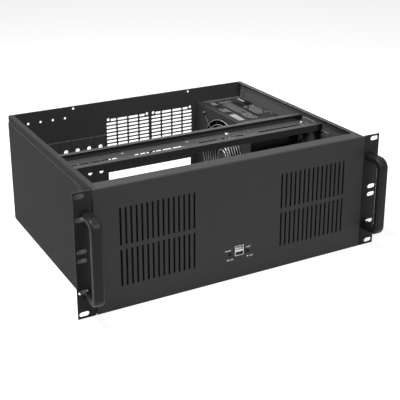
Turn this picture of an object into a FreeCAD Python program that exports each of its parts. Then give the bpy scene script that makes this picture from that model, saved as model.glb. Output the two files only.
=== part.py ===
import FreeCAD, Part
import math
import os
import re
import Sketcher

# 4U rackmount server case, 19 inch, 350 mm deep, lid off, with its power supply.
# +X is to the right seen from the front, the front panel faces -Y, +Z is up.
# The origin is the middle of the underside of the case floor. Millimetres.

V = FreeCAD.Vector

DIMENSIONS = [
    # the folded steel body
    ("body_width", 430.0), ("body_depth", 350.0), ("body_height", 177.0),
    ("sheet", 1.2), ("bend", 0.8), ("corner_relief", 0.3),
    ("rebate_height", 11.0), ("rebate_depth", 1.0), ("top_lip", 7.3),
    # front panel and its two ventilated fields
    ("panel_sheet", 1.5), ("panel_gap", 0.4), ("front_lip", 20.0), ("return_depth", 12.5),
    ("return_low", 8.0), ("return_high", 17.0),
    ("vent_width", 3.0), ("vent_height", 52.8), ("vent_bridge", 6.2),
    ("vent_pitch", 7.7), ("vent_first", 70.3), ("vent_columns", 15),
    # rack ears
    ("rack_width", 482.6), ("rack_spacing", 465.1), ("ear_sheet", 2.0), ("ear_depth", 45.0),
    ("ear_bend", 1.0), ("ear_foot", 4.0), ("ear_screw_back", 25.0), ("ear_screw_spread", 63.5),
    ("ear_screw_hole", 4.2), ("ear_slot_length", 14.0), ("ear_slot_width", 7.0),
    ("ear_slot_near", 6.35), ("ear_slot_mid", 50.8), ("ear_slot_far", 82.55),
    # handles
    ("handle_width", 15.5), ("handle_thick", 11.0), ("handle_round", 4.0),
    ("handle_spacing", 111.0), ("handle_reach", 37.0), ("handle_bend", 10.0),
    ("handle_offset", 224.4), ("handle_thread", 4.2),
    # crossbar: an open channel from wall to wall, on a bracket at each end
    ("bar_front", 104.0), ("bar_width", 63.0), ("bar_height", 10.5), ("bar_drop", 10.0),
    ("bar_play", 0.3), ("bar_lip_front", 9.0), ("bar_lip_rear", 7.0),
    ("bar_slot_length", 84.0), ("bar_slot_width", 14.0), ("bar_slot_pitch", 106.0),
    ("bar_slot_back", 24.5), ("bar_hole", 5.0), ("bar_hole_back", 49.5),
    ("bar_tab_back", 14.0), ("bar_tab_length", 34.0), ("bar_stud_x", 70.0),
    ("bar_screw_inset", 6.0), ("bar_screw_front", 14.0), ("bar_screw_rear", 44.0),
    ("bracket_ahead", 20.0), ("bracket_length", 68.0), ("bracket_height", 36.0),
    ("bracket_reach", 15.0),
    # rear panel
    ("shield_from_post", 155.1), ("shield_width", 158.75), ("shield_bottom", 5.5),
    ("shield_height", 44.45),
    ("fan_to_supply", 50.0), ("fan_pitch", 83.3), ("fan_z", 108.5), ("fan_holes", 71.5),
    ("fan_hole", 5.0), ("grille_slot", 18.0), ("grille_slot_width", 4.0),
    ("grille_gap", 2.2), ("grille_pitch", 6.27), ("grille_rows", 12),
    ("ledge_top", 117.6), ("ledge_reach", 11.5), ("ledge_margin", 11.7), ("rear_flange", 10.0),
    ("slot_from_post", 168.9), ("slot_pitch", 20.32), ("slot_count", 7),
    ("window_width", 15.0), ("window_bottom", 12.0), ("window_top", 112.0),
    ("cover_width", 18.4), ("cover_sheet", 0.9), ("cover_foot", 1.8), ("cover_hole", 7.0),
    ("cover_hole_low", 33.0), ("cover_hole_pitch", 22.3),
    ("upper_hole", 4.0), ("upper_hole_z", 158.4), ("upper_hole_from_post", 259.5),
    ("upper_hole_pitch", 20.65), ("lid_hole", 4.0), ("lid_hole_x", 106.0), ("lid_hole_drop", 4.3),
    # power supply, standing on its side in the right rear corner
    ("psu_gap", 3.8), ("psu_width", 86.0), ("psu_height", 150.0), ("psu_length", 180.0),
    ("psu_sheet", 0.8), ("psu_lip", 10.0), ("psu_fan_back", 90.0), ("psu_fan_size", 140.0),
    ("psu_fan_depth", 25.0), ("psu_fan_opening", 136.0), ("psu_fan_bore", 133.0),
    ("psu_fan_holes", 124.5), ("rotor_tip", 130.0), ("hub", 44.0), ("shaft", 3.0),
    ("shaft_clearance", 0.05), ("supply_margin", 9.0),
    ("guard_wire", 1.6), ("guard_outer", 65.0), ("guard_pitch", 8.5), ("guard_rings", 7),
    ("inlet_z", 32.0), ("switch_z", 62.0), ("rocker_tilt", 9.0), ("rocker_pin", 2.0),
    ("outlet_hole", 26.0), ("outlet_z", 31.2),
    # front sockets, buttons and lamps
    ("port_x", 1.0), ("port_z", 42.65), ("port_width", 14.0), ("port_height", 15.3),
    ("port_depth", 14.5), ("board_back", 15.5), ("board_sheet", 1.6),
    ("board_width", 54.0), ("board_bottom", 24.0), ("board_height", 32.0),
    ("spacer_x", 23.0), ("spacer_z", 52.0),
    ("button_left_x", -13.5), ("button_right_x", 14.7), ("button_z", 39.2),
    ("button", 5.4), ("button_clearance", 0.3), ("button_travel", 1.0),
    ("lamp_left_x", -17.0), ("lamp_right_x", 14.8), ("lamp_z", 30.7), ("lamp", 3.0),
    # main board posts
    ("post_height", 6.5), ("post_flats", 5.0), ("post_thread", 2.5),
    ("post_to_supply", 16.4), ("post_rear", 10.16),
]

doc = FreeCAD.newDocument("ServerCase")
sheet = doc.addObject("Spreadsheet::Sheet", "Dims")
for row, (alias, value) in enumerate(DIMENSIONS, start=1):
    sheet.set("A%d" % row, alias)
    sheet.set("B%d" % row, str(value))
    sheet.setAlias("B%d" % row, alias)
doc.recompute()

WORD = re.compile(r"\b(%s)\b" % "|".join(alias for alias, value in DIMENSIONS))


def bound(text):
    """An expression on the sheet's cells: every alias in text gets the sheet's name."""
    return WORD.sub(r"Dims.\1", str(text))


def size(alias):
    """The number in the sheet under alias."""
    return float(sheet.get(alias))


# Planes that many pieces share, as expressions.
FRONT = "(-body_depth/2)"
REAR = "(body_depth/2)"
REAR_INNER = "(body_depth/2 - sheet)"
WALL_INNER = "(body_width/2 - sheet)"
BAR_FRONT = "(-body_depth/2 + bar_front)"
BAR_HALF = "(body_width/2 - sheet - rebate_depth - bar_play)"
BAR_FLOOR = "(body_height - bar_drop - bar_height)"
PSU_FRONT = "(body_depth/2 - sheet - psu_length)"
PSU_LEFT = "(body_width/2 - sheet - psu_gap - psu_width)"
POST_RIGHT = "(body_width/2 - sheet - psu_gap - psu_width - post_to_supply)"
SHIELD_LEFT = "(%s - shield_from_post)" % POST_RIGHT
SLOT_FIRST = "(%s - slot_from_post)" % POST_RIGHT
PSU_TOP = "(sheet + psu_height)"
PSU_FAN_Y = "(body_depth/2 - sheet - psu_fan_back)"
PSU_FAN_Z = "(sheet + psu_height/2)"
PSU_INSIDE_LEFT = "(body_width/2 - sheet - psu_gap - psu_width + psu_sheet)"
COVER_Y = "(body_depth/2 - sheet - cover_sheet)"
LIP_HALF = "(body_width/2 - rebate_depth - top_lip - panel_gap)"
KNEE = "(body_height - rebate_height)"
BOARD_Y = "(-body_depth/2 + board_back)"

front = -size("body_depth") / 2
rear = size("body_depth") / 2
rear_inner = rear - size("sheet")
middle_z = size("body_height") / 2
psu_left = size("body_width") / 2 - size("sheet") - size("psu_gap") - size("psu_width")
post_right = psu_left - size("post_to_supply")
slot_first = post_right - size("slot_from_post")

nodes = []


def node(piece, name):
    """Register piece as the sub-part called name."""
    piece.Label = name
    nodes.append(piece)
    return piece


def box(name, corner, lengths):
    """A block whose low corner and side lengths are expressions on the sheet."""
    piece = doc.addObject("Part::Box", name)
    for prop, text in zip(("Length", "Width", "Height"), lengths):
        piece.setExpression(prop, bound(text))
    for axis, text in zip("xyz", corner):
        piece.setExpression(".Placement.Base." + axis, bound(text))
    return piece


TURNS = {
    "Z": FreeCAD.Rotation(),
    "Y": FreeCAD.Rotation(V(1, 0, 0), -90),
    "X": FreeCAD.Rotation(V(0, 1, 0), 90),
}


def cylinder(name, start, axis, diameter, length):
    """A round bar from the point start along +axis, bound to the sheet."""
    piece = doc.addObject("Part::Cylinder", name)
    piece.Placement = FreeCAD.Placement(V(0, 0, 0), TURNS[axis])
    piece.setExpression("Radius", bound("(%s)/2" % diameter))
    piece.setExpression("Height", bound(length))
    for letter, text in zip("xyz", start):
        piece.setExpression(".Placement.Base." + letter, bound(text))
    return piece


def fuse(name, pieces):
    piece = doc.addObject("Part::MultiFuse", name)
    piece.Shapes = pieces
    piece.Refine = True
    return piece


def group(name, pieces):
    piece = doc.addObject("Part::Compound", name)
    piece.Links = pieces
    return piece


def cut(name, base, tools):
    """Base with every tool taken out of it."""
    piece = doc.addObject("Part::Cut", name)
    piece.Base = base
    piece.Tool = tools[0] if len(tools) == 1 else group(name + "_tools", tools)
    piece.Refine = True
    return piece


def solid(name, shape):
    """A piece whose shape comes from Part's own functions."""
    piece = doc.addObject("Part::Feature", name)
    piece.Shape = shape
    return piece


def body_plane(body, role):
    return [item for item in body.Origin.OriginFeatures if item.Role == role][0]


def outline(body, name, role, points):
    """A closed polygon sketch on an origin plane, each corner bound to the sheet."""
    sketch = body.newObject("Sketcher::SketchObject", name)
    sketch.AttachmentSupport = [(body_plane(body, role), "")]
    sketch.MapMode = "FlatFace"
    count = len(points)
    ring = [V(100 * math.cos(2 * math.pi * i / count), 100 * math.sin(2 * math.pi * i / count), 0)
            for i in range(count)]
    for i in range(count):
        sketch.addGeometry(Part.LineSegment(ring[i], ring[(i + 1) % count]), False)
    for i in range(count):
        sketch.addConstraint(Sketcher.Constraint("Coincident", i, 2, (i + 1) % count, 1))
    for i, (across, up) in enumerate(points):
        for kind, start, text in (("DistanceX", ring[i].x, across), ("DistanceY", ring[i].y, up)):
            index = sketch.addConstraint(Sketcher.Constraint(kind, -1, 1, i, 1, start))
            sketch.setExpression("Constraints[%d]" % index, bound(text))
    return sketch


def folded(name, role, points, length, start, toward):
    """A folded strip: the profile points padded along its plane's normal.

    toward is the axis letter of the pad; start is where the pad begins on it."""
    body = doc.addObject("PartDesign::Body", name)
    sketch = outline(body, name + "_profile", role, points)
    pad = body.newObject("PartDesign::Pad", name + "_pad")
    pad.Profile = sketch
    pad.setExpression("Length", bound(length))
    pad.Reversed = role == "XZ_Plane"
    body.Tip = pad
    body.setExpression(".Placement.Base." + toward, bound(start))
    return body


def rounded(name, base, radius, wanted):
    """Base with each edge that wanted(edge) picks rounded off."""
    doc.recompute()
    piece = doc.addObject("Part::Fillet", name)
    piece.Base = base
    piece.Edges = [(i, radius, radius) for i, edge in enumerate(base.Shape.Edges, start=1)
                   if wanted(edge)]
    return piece


def runs_along(edge, axis, least):
    """Whether edge is straight, parallel to axis (0, 1 or 2) and at least least long."""
    if len(edge.Vertexes) != 2 or edge.Length < least:
        return False
    step = edge.Vertexes[1].Point - edge.Vertexes[0].Point
    return abs(abs(step[axis]) - edge.Length) < 1e-6


def obround(x, z, length, width, start_y, depth):
    """A slot cutter with round ends, along X, from start_y towards +Y."""
    half = length / 2 - width / 2
    radius = width / 2
    left = V(x - half, start_y, z)
    right = V(x + half, start_y, z)
    up = V(0, 0, radius)
    edges = [
        Part.LineSegment(left + up, right + up).toShape(),
        Part.Arc(right + up, right + V(radius, 0, 0), right - up).toShape(),
        Part.LineSegment(right - up, left - up).toShape(),
        Part.Arc(left - up, left - V(radius, 0, 0), left + up).toShape(),
    ]
    return Part.Face(Part.Wire(edges)).extrude(V(0, depth, 0))


def round_hole(x, z, diameter, start_y, depth):
    return Part.makeCylinder(diameter / 2, depth, V(x, start_y, z), V(0, 1, 0))


def prism(sides, radius, start_z, height):
    """An upright prism whose corners lie on a circle of the given radius."""
    corners = [V(radius * math.cos(2 * math.pi * i / sides), radius * math.sin(2 * math.pi * i / sides),
                 start_z) for i in range(sides)]
    return Part.Face(Part.makePolygon(corners + corners[:1])).extrude(V(0, 0, height))


def pan_screw(seat, direction, head, head_height, shank, length):
    """A screw with a plain head: the head's underside is at seat, the shank runs along direction."""
    screw = prism(12, head / 2, -head_height, head_height).fuse(prism(8, shank / 2, 0, length))
    screw.Placement = FreeCAD.Placement(V(*seat), FreeCAD.Rotation(V(0, 0, 1), V(*direction)))
    return screw


def eased_slot(x, z, length, width, start_y, depth):
    """A slot cutter along X whose ends have eased corners, from start_y towards +Y."""
    half = length / 2
    ease = width * 0.29
    corners = [V(x + sx * (half - ex * ease), start_y, z + sz * (width / 2 - ez * ease))
               for sx, sz, ex, ez in ((-1, 1, 0, 1), (-1, 1, 1, 0), (1, 1, 1, 0), (1, 1, 0, 1),
                                      (1, -1, 0, 1), (1, -1, 1, 0), (-1, -1, 1, 0), (-1, -1, 0, 1))]
    return Part.Face(Part.makePolygon(corners + corners[:1])).extrude(V(0, depth, 0))


def hexagon(across_flats, origin, normal, length):
    """A hexagonal prism from origin along normal."""
    radius = across_flats / math.sqrt(3)
    corners = [V(radius * math.cos(math.radians(60 * i + 30)),
                 radius * math.sin(math.radians(60 * i + 30)), 0) for i in range(6)]
    prism = Part.Face(Part.makePolygon(corners + corners[:1])).extrude(V(0, 0, length))
    prism.Placement = FreeCAD.Placement(V(*origin), FreeCAD.Rotation(V(0, 0, 1), V(*normal)))
    return prism


def mirrored_pair(make, left_name, right_name):
    """Build a piece for the left side (-1) and for the right side (+1)."""
    return node(make(-1, left_name), left_name), node(make(1, right_name), right_name)


# ---------------------------------------------------------------- chassis


def make_chassis():
    """Floor, side walls, rebate for the lid and inturned top lips, one folded sheet."""
    half = "body_width/2"
    knee = "(body_height - rebate_height)"
    right = [
        ("%s" % half, "0"),
        ("%s" % half, "%s - rebate_depth" % knee),
        ("%s - rebate_depth" % half, knee),
        ("%s - rebate_depth" % half, "body_height"),
        ("%s - rebate_depth - top_lip" % half, "body_height"),
        ("%s - rebate_depth - top_lip" % half, "body_height - sheet"),
        ("%s - rebate_depth - sheet" % half, "body_height - sheet"),
        ("%s - rebate_depth - sheet" % half, knee),
        ("%s - sheet" % half, "%s - rebate_depth" % knee),
        ("%s - sheet" % half, "sheet"),
    ]
    left = [("-(%s)" % across, up) for across, up in reversed(right)]
    tray = folded("chassis_sheet", "XZ_Plane", right + left,
                  "body_depth - panel_sheet", "-body_depth/2 + panel_sheet", "y")
    long_enough = size("body_depth") / 2
    inner = size("bend")
    outer = size("bend") + size("sheet")
    half_width = size("body_width") / 2
    height = size("body_height")

    def outer_fold(edge):
        if not runs_along(edge, 1, long_enough):
            return False
        point = edge.Vertexes[0].Point
        low = abs(abs(point.x) - half_width) < 1e-6 and abs(point.z) < 1e-6
        high = (abs(abs(point.x) - half_width + size("rebate_depth")) < 1e-6
                and abs(point.z - height) < 1e-6)
        return low or high

    def inner_fold(edge):
        if not runs_along(edge, 1, long_enough):
            return False
        point = edge.Vertexes[0].Point
        wall = half_width - size("sheet")
        low = abs(abs(point.x) - wall) < 1e-6 and abs(point.z - size("sheet")) < 1e-6
        high = (abs(abs(point.x) - wall + size("rebate_depth")) < 1e-6
                and abs(point.z - height + size("sheet")) < 1e-6)
        return low or high

    bent = rounded("chassis_outer_folds", tray, outer, outer_fold)
    bent = rounded("chassis_inner_folds", bent, inner, inner_fold)
    return node(bent, "chassis")


# ---------------------------------------------------------------- front panel


def make_front_panel():
    """Flat plate with a deep top return, a floor return, vents and socket holes."""
    plate = box("panel_plate", ("-body_width/2 + panel_gap", FRONT, "0"),
                ("body_width - 2*panel_gap", "panel_sheet", "body_height"))
    lip = box("panel_top_return", ("-" + LIP_HALF, FRONT, "body_height - panel_sheet"),
              ("2*" + LIP_HALF, "front_lip", "panel_sheet"))
    inset = "(%s - bend - 1)" % WALL_INNER
    foot = box("panel_floor_return", ("-" + inset, FRONT, "sheet"),
               ("2*" + inset, "panel_sheet + return_depth", "panel_sheet"))
    sides = [box("panel_return_%s" % label, (x, FRONT, "return_low"),
                 ("panel_sheet", "panel_sheet + return_depth", "body_height - return_low - return_high"))
             for label, x in (("left", "-" + WALL_INNER), ("right", WALL_INNER + " - panel_sheet"))]
    raw = fuse("panel_folded", [plate, lip, foot] + sides)

    def top_fold(edge):
        point = edge.Vertexes[0].Point
        return (runs_along(edge, 0, size("body_width") / 2)
                and abs(point.y - front) < 1e-6 and abs(point.z - size("body_height")) < 1e-6)

    bent = rounded("panel_bent", raw, size("bend") + size("panel_sheet"), top_fold)
    deep = 3 * size("panel_sheet")
    vents = []
    for side in (-1, 1):
        for column in range(int(size("vent_columns"))):
            centre = side * (size("vent_first") + column * size("vent_pitch"))
            for low in (middle_z - size("vent_bridge") / 2 - size("vent_height"),
                        middle_z + size("vent_bridge") / 2):
                vents.append(Part.makeBox(size("vent_width"), deep, size("vent_height"),
                                          V(centre - size("vent_width") / 2,
                                            front - size("panel_sheet"), low)))
    vent_field = solid("panel_vents", Part.makeCompound(vents))
    play = "button_clearance"
    window = box("panel_port_window",
                 ("port_x - port_width/2 - %s" % play, FRONT + " - 1",
                  "port_z - port_height/2 - %s" % play),
                 ("port_width + 2*%s" % play, "panel_sheet + 2", "port_height + 2*%s" % play))
    holes = [window, vent_field]
    for name, x, z, width in (
            ("panel_power_hole", "button_left_x", "button_z", "button + 2*button_clearance"),
            ("panel_reset_hole", "button_right_x", "button_z", "button + 2*button_clearance"),
            ("panel_left_lamp_hole", "lamp_left_x", "lamp_z", "lamp + 0.2"),
            ("panel_right_lamp_hole", "lamp_right_x", "lamp_z", "lamp + 0.2")):
        holes.append(cylinder(name, (x, FRONT + " - 1", z), "Y", width, "panel_sheet + 2"))
    return node(cut("panel", bent, holes), "front_panel")


# ---------------------------------------------------------------- ears and handles

EAR_SLOT_OFFSETS = [sign * size(name) for name in ("ear_slot_near", "ear_slot_mid", "ear_slot_far")
                    for sign in (-1, 1)]
EAR_SCREW_HEIGHTS = [middle_z + step * size("ear_screw_spread") for step in (-1, 0, 1)]


def make_ear(side, name):
    """Angle bracket: slotted rack flange in front, web screwed to the side wall."""
    wall = "body_width/2"
    low_x = wall if side > 0 else "-rack_width/2"
    flange = box(name + "_flange", (low_x, FRONT, "0"),
                 ("rack_width/2 - body_width/2", "ear_sheet", "body_height"))
    web_x = wall if side > 0 else "-body_width/2 - ear_sheet"
    web = box(name + "_web", (web_x, FRONT, "ear_foot"),
              ("ear_sheet", "ear_depth", "%s - rebate_depth - ear_foot" % KNEE))
    raw = fuse(name + "_angle", [flange, web])
    near = side * size("body_width") / 2
    far = side * (size("body_width") / 2 + size("ear_sheet"))

    def outer_fold(edge):
        point = edge.Vertexes[0].Point
        return (runs_along(edge, 2, size("body_height") / 2) and abs(point.x - near) < 1e-6
                and abs(point.y - front) < 1e-6)

    def inner_fold(edge):
        point = edge.Vertexes[0].Point
        return (runs_along(edge, 2, size("body_height") / 2) and abs(point.x - far) < 1e-6
                and abs(point.y - front - size("ear_sheet")) < 1e-6)

    def web_corner(edge):
        point = edge.Vertexes[0].Point
        return (runs_along(edge, 0, 1) and abs(edge.Length - size("ear_sheet")) < 1e-6
                and abs(point.y - front - size("ear_depth")) < 1e-6)

    bent = rounded(name + "_outer_fold", raw, size("ear_bend") + size("ear_sheet"), outer_fold)
    bent = rounded(name + "_inner_fold", bent, size("ear_bend"), inner_fold)
    bent = rounded(name + "_corners", bent, 6.0, web_corner)
    deep = 4 * size("ear_sheet")
    slots = [obround(side * size("rack_spacing") / 2, middle_z + offset, size("ear_slot_length"),
                     size("ear_slot_width"), front - size("ear_sheet"), deep)
             for offset in EAR_SLOT_OFFSETS]
    for sign in (-1, 1):
        slots.append(round_hole(side * size("handle_offset"),
                                middle_z + sign * size("handle_spacing") / 2,
                                size("handle_thread") + 0.8, front - size("ear_sheet"), deep))
    for height in EAR_SCREW_HEIGHTS:
        slots.append(Part.makeCylinder(size("ear_screw_hole") / 2, deep,
                                       V(near - deep / 2, front + size("ear_screw_back"), height),
                                       V(1, 0, 0)))
    return cut(name + "_drilled", bent, [solid(name + "_holes", Part.makeCompound(slots))])


def handle_section(x, z):
    """Flat oval outline of the bar where its foot meets the ear."""
    across = size("handle_width") / 2
    up = size("handle_thick") / 2
    ease = min(size("handle_round"), 0.9 * up, 0.9 * across)
    diagonal = ease * (1 - math.sqrt(0.5))
    edges = []
    corners = ((1, 1), (-1, 1), (-1, -1), (1, -1))
    for i, (sx, sz) in enumerate(corners):
        side_point = V(x + sx * across, front, z + sz * (up - ease))
        flat_point = V(x + sx * (across - ease), front, z + sz * up)
        middle = V(x + sx * (across - diagonal), front, z + sz * (up - diagonal))
        start, end = (side_point, flat_point) if sx * sz > 0 else (flat_point, side_point)
        edges.append(Part.Arc(start, middle, end).toShape())
        nx, nz = corners[(i + 1) % 4]
        if sx == nx:
            goal = V(x + nx * across, front, z + nz * (up - ease))
        else:
            goal = V(x + nx * (across - ease), front, z + nz * up)
        edges.append(Part.LineSegment(end, goal).toShape())
    return Part.Wire(edges)


def make_handle(side, name):
    """Flat oval bar bent twice at right angles, tapped at both feet."""
    reach = size("handle_reach") - size("handle_thick") / 2
    radius = size("handle_bend")
    high = middle_z + size("handle_spacing") / 2
    low = middle_z - size("handle_spacing") / 2
    x = side * size("handle_offset")
    lean = radius * (1 - math.sqrt(0.5))
    points = [V(x, front, high), V(x, front - reach + radius, high), V(x, front - reach, high - radius),
              V(x, front - reach, low + radius), V(x, front - reach + radius, low), V(x, front, low)]
    path = Part.Wire([
        Part.LineSegment(points[0], points[1]).toShape(),
        Part.Arc(points[1], V(x, front - reach + lean, high - lean), points[2]).toShape(),
        Part.LineSegment(points[2], points[3]).toShape(),
        Part.Arc(points[3], V(x, front - reach + lean, low + lean), points[4]).toShape(),
        Part.LineSegment(points[4], points[5]).toShape(),
    ])
    bar = path.makePipeShell([handle_section(x, high)], True, False)
    taps = [round_hole(x, height, size("handle_thread"), front - 12.0, 12.0) for height in (high, low)]
    return solid(name + "_bar", bar.cut(Part.makeCompound(taps)))


def make_ear_fasteners():
    """Screws into the handles' feet from behind, and screws through the ears' webs."""
    handle_screws = []
    ear_screws = []
    for side in (-1, 1):
        for sign in (-1, 1):
            handle_screws.append(pan_screw(
                (side * size("handle_offset"), front + size("ear_sheet"),
                 middle_z + sign * size("handle_spacing") / 2), (0, -1, 0), 8.6, 3.0,
                size("handle_thread"), 11.0))
        for height in EAR_SCREW_HEIGHTS:
            ear_screws.append(pan_screw(
                (side * (size("body_width") / 2 + size("ear_sheet")),
                 front + size("ear_screw_back"), height), (-side, 0, 0), 7.0, 2.0,
                size("ear_screw_hole") - 0.2, size("ear_sheet")))
    node(solid("handle_screw_set", Part.makeCompound(handle_screws)), "handle_screws")
    node(solid("ear_screw_set", Part.makeCompound(ear_screws)), "ear_screws")


# ---------------------------------------------------------------- crossbar


def bar_screw_spots(side):
    """Where the bar is screwed to its bracket on one side: (x, y) pairs."""
    half = size("body_width") / 2 - size("sheet") - size("rebate_depth") - size("bar_play")
    return [(side * (half - size("bar_screw_inset")), front + size("bar_front") + size(back))
            for back in ("bar_screw_front", "bar_screw_rear")]


def make_crossbar():
    """Open channel with inturned lips, slotted floor and an upturned tab at each end."""
    profile = [
        ("0", "0"), ("bar_width", "0"), ("bar_width", "bar_height"),
        ("bar_width - bar_lip_rear", "bar_height"),
        ("bar_width - bar_lip_rear", "bar_height - sheet"), ("bar_width - sheet", "bar_height - sheet"),
        ("bar_width - sheet", "sheet"), ("sheet", "sheet"), ("sheet", "bar_height - sheet"),
        ("bar_lip_front", "bar_height - sheet"), ("bar_lip_front", "bar_height"), ("0", "bar_height"),
    ]
    channel = folded("bar_sheet", "YZ_Plane", profile, "2*" + BAR_HALF, "-" + BAR_HALF, "x")
    channel.setExpression(".Placement.Base.y", bound(BAR_FRONT))
    channel.setExpression(".Placement.Base.z", bound(BAR_FLOOR))
    tabs = [box("bar_tab_%s" % label, (x, BAR_FRONT + " + bar_tab_back", BAR_FLOOR),
                ("sheet", "bar_tab_length", "bar_height - sheet"))
            for label, x in (("left", "-" + BAR_HALF), ("right", BAR_HALF + " - sheet"))]
    raw = fuse("bar_with_tabs", [channel] + tabs)
    floor_z = size("body_height") - size("bar_drop") - size("bar_height")
    bar_y = front + size("bar_front")
    deep = 3 * size("sheet")
    half_width = size("bar_slot_width") / 2
    openings = []
    for i in range(4):
        centre = (i - 1.5) * size("bar_slot_pitch")
        slot = obround(0, 0, size("bar_slot_length"), size("bar_slot_width"), 0, deep)
        slot.rotate(V(0, 0, 0), V(1, 0, 0), 90)
        slot.translate(V(centre, bar_y + size("bar_slot_back") + half_width, floor_z - size("sheet")))
        openings.append(slot)
    for i in range(3):
        openings.append(Part.makeCylinder(
            size("bar_hole") / 2, deep, V((i - 1) * size("bar_slot_pitch"),
                                          bar_y + size("bar_hole_back"), floor_z - size("sheet"))))
    spots = bar_screw_spots(-1) + bar_screw_spots(1)
    for x, y in spots + [(size("bar_stud_x"), bar_y + size("bar_hole_back"))]:
        openings.append(Part.makeCylinder(1.9, deep, V(x, y, floor_z - size("sheet"))))
    node(cut("bar", raw, [solid("bar_openings", Part.makeCompound(openings))]), "crossbar")
    screws = [pan_screw((x, y, floor_z + size("sheet")), (0, 0, -1), 7.0, 2.2, 3.6,
                        2 * size("sheet") + 2.0) for x, y in spots]
    screws.append(pan_screw((size("bar_stud_x"), bar_y + size("bar_hole_back"),
                             floor_z + size("sheet")), (0, 0, -1), 6.5, 2.4, 3.6, 5.0))
    node(solid("bar_screw_set", Part.makeCompound(screws)), "crossbar_screws")


def make_bar_bracket(side, name):
    """Angle on the side wall that carries one end of the crossbar."""
    start_y = BAR_FRONT + " - bracket_ahead"
    plate = box(name + "_plate", (WALL_INNER + " - sheet" if side > 0 else "-" + WALL_INNER, start_y,
                                  BAR_FLOOR + " - bracket_height"),
                ("sheet", "bracket_length", "bracket_height"))
    shelf = box(name + "_shelf", (WALL_INNER + " - bracket_reach" if side > 0 else "-" + WALL_INNER,
                                  BAR_FRONT + " + 2", BAR_FLOOR + " - sheet"),
                ("bracket_reach", "bracket_length - bracket_ahead - 2", "sheet"))
    raw = fuse(name + "_angle", [plate, shelf])
    floor_z = size("body_height") - size("bar_drop") - size("bar_height")
    deep = 4 * size("sheet")
    wall = side * (size("body_width") / 2 - size("sheet"))
    holes = [Part.makeCylinder(1.9, deep, V(x, y, floor_z - deep / 2)) for x, y in bar_screw_spots(side)]
    holes.append(Part.makeCylinder(2.2, deep, V(wall - deep / 2, front + size("bar_front") - 4.0,
                                                floor_z - 4.5), V(1, 0, 0)))
    return cut(name + "_drilled", raw, [solid(name + "_holes", Part.makeCompound(holes))])


# ---------------------------------------------------------------- rear panel

PSU_SCREWS = [(6.0, 16.0), (size("psu_height") - 6.0, 16.0), (6.0, size("psu_width") - 6.0),
              (size("psu_height") - 30.0, size("psu_width") - 6.0)]


def psu_screw_points():
    """Standard fixing pattern of the power supply, turned on its side: (x, z) pairs."""
    return [(psu_left + across, size("sheet") + up) for up, across in PSU_SCREWS]


def grille_cutters(centre_x, start_y, depth):
    """Rows of round-ended slots in a square, with a screw hole in each corner."""
    length = size("grille_slot")
    width = size("grille_slot_width")
    step = length + size("grille_gap")
    rows = int(size("grille_rows"))
    reach = size("fan_holes") / 2
    cutters = []
    for row in range(rows):
        z = size("fan_z") + (row - (rows - 1) / 2) * size("grille_pitch")
        for column in range(4):
            x = centre_x + (column - 1.5) * step
            if row in (0, rows - 1) and column in (0, 3):
                clear = size("fan_hole") / 2 + 1.6
                inner_end = abs(x - centre_x) - length / 2
                outer_end = reach - clear
                side = 1 if column else -1
                cutters.append(eased_slot(centre_x + side * (inner_end + outer_end) / 2, z,
                                          outer_end - inner_end, width, start_y, depth))
            else:
                cutters.append(eased_slot(x, z, length, width, start_y, depth))
    for across in (-reach, reach):
        for up in (-reach, reach):
            cutters.append(round_hole(centre_x + across, size("fan_z") + up, size("fan_hole"),
                                      start_y, depth))
    return cutters


def slot_centres():
    return [slot_first - i * size("slot_pitch") for i in range(int(size("slot_count")))]


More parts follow.
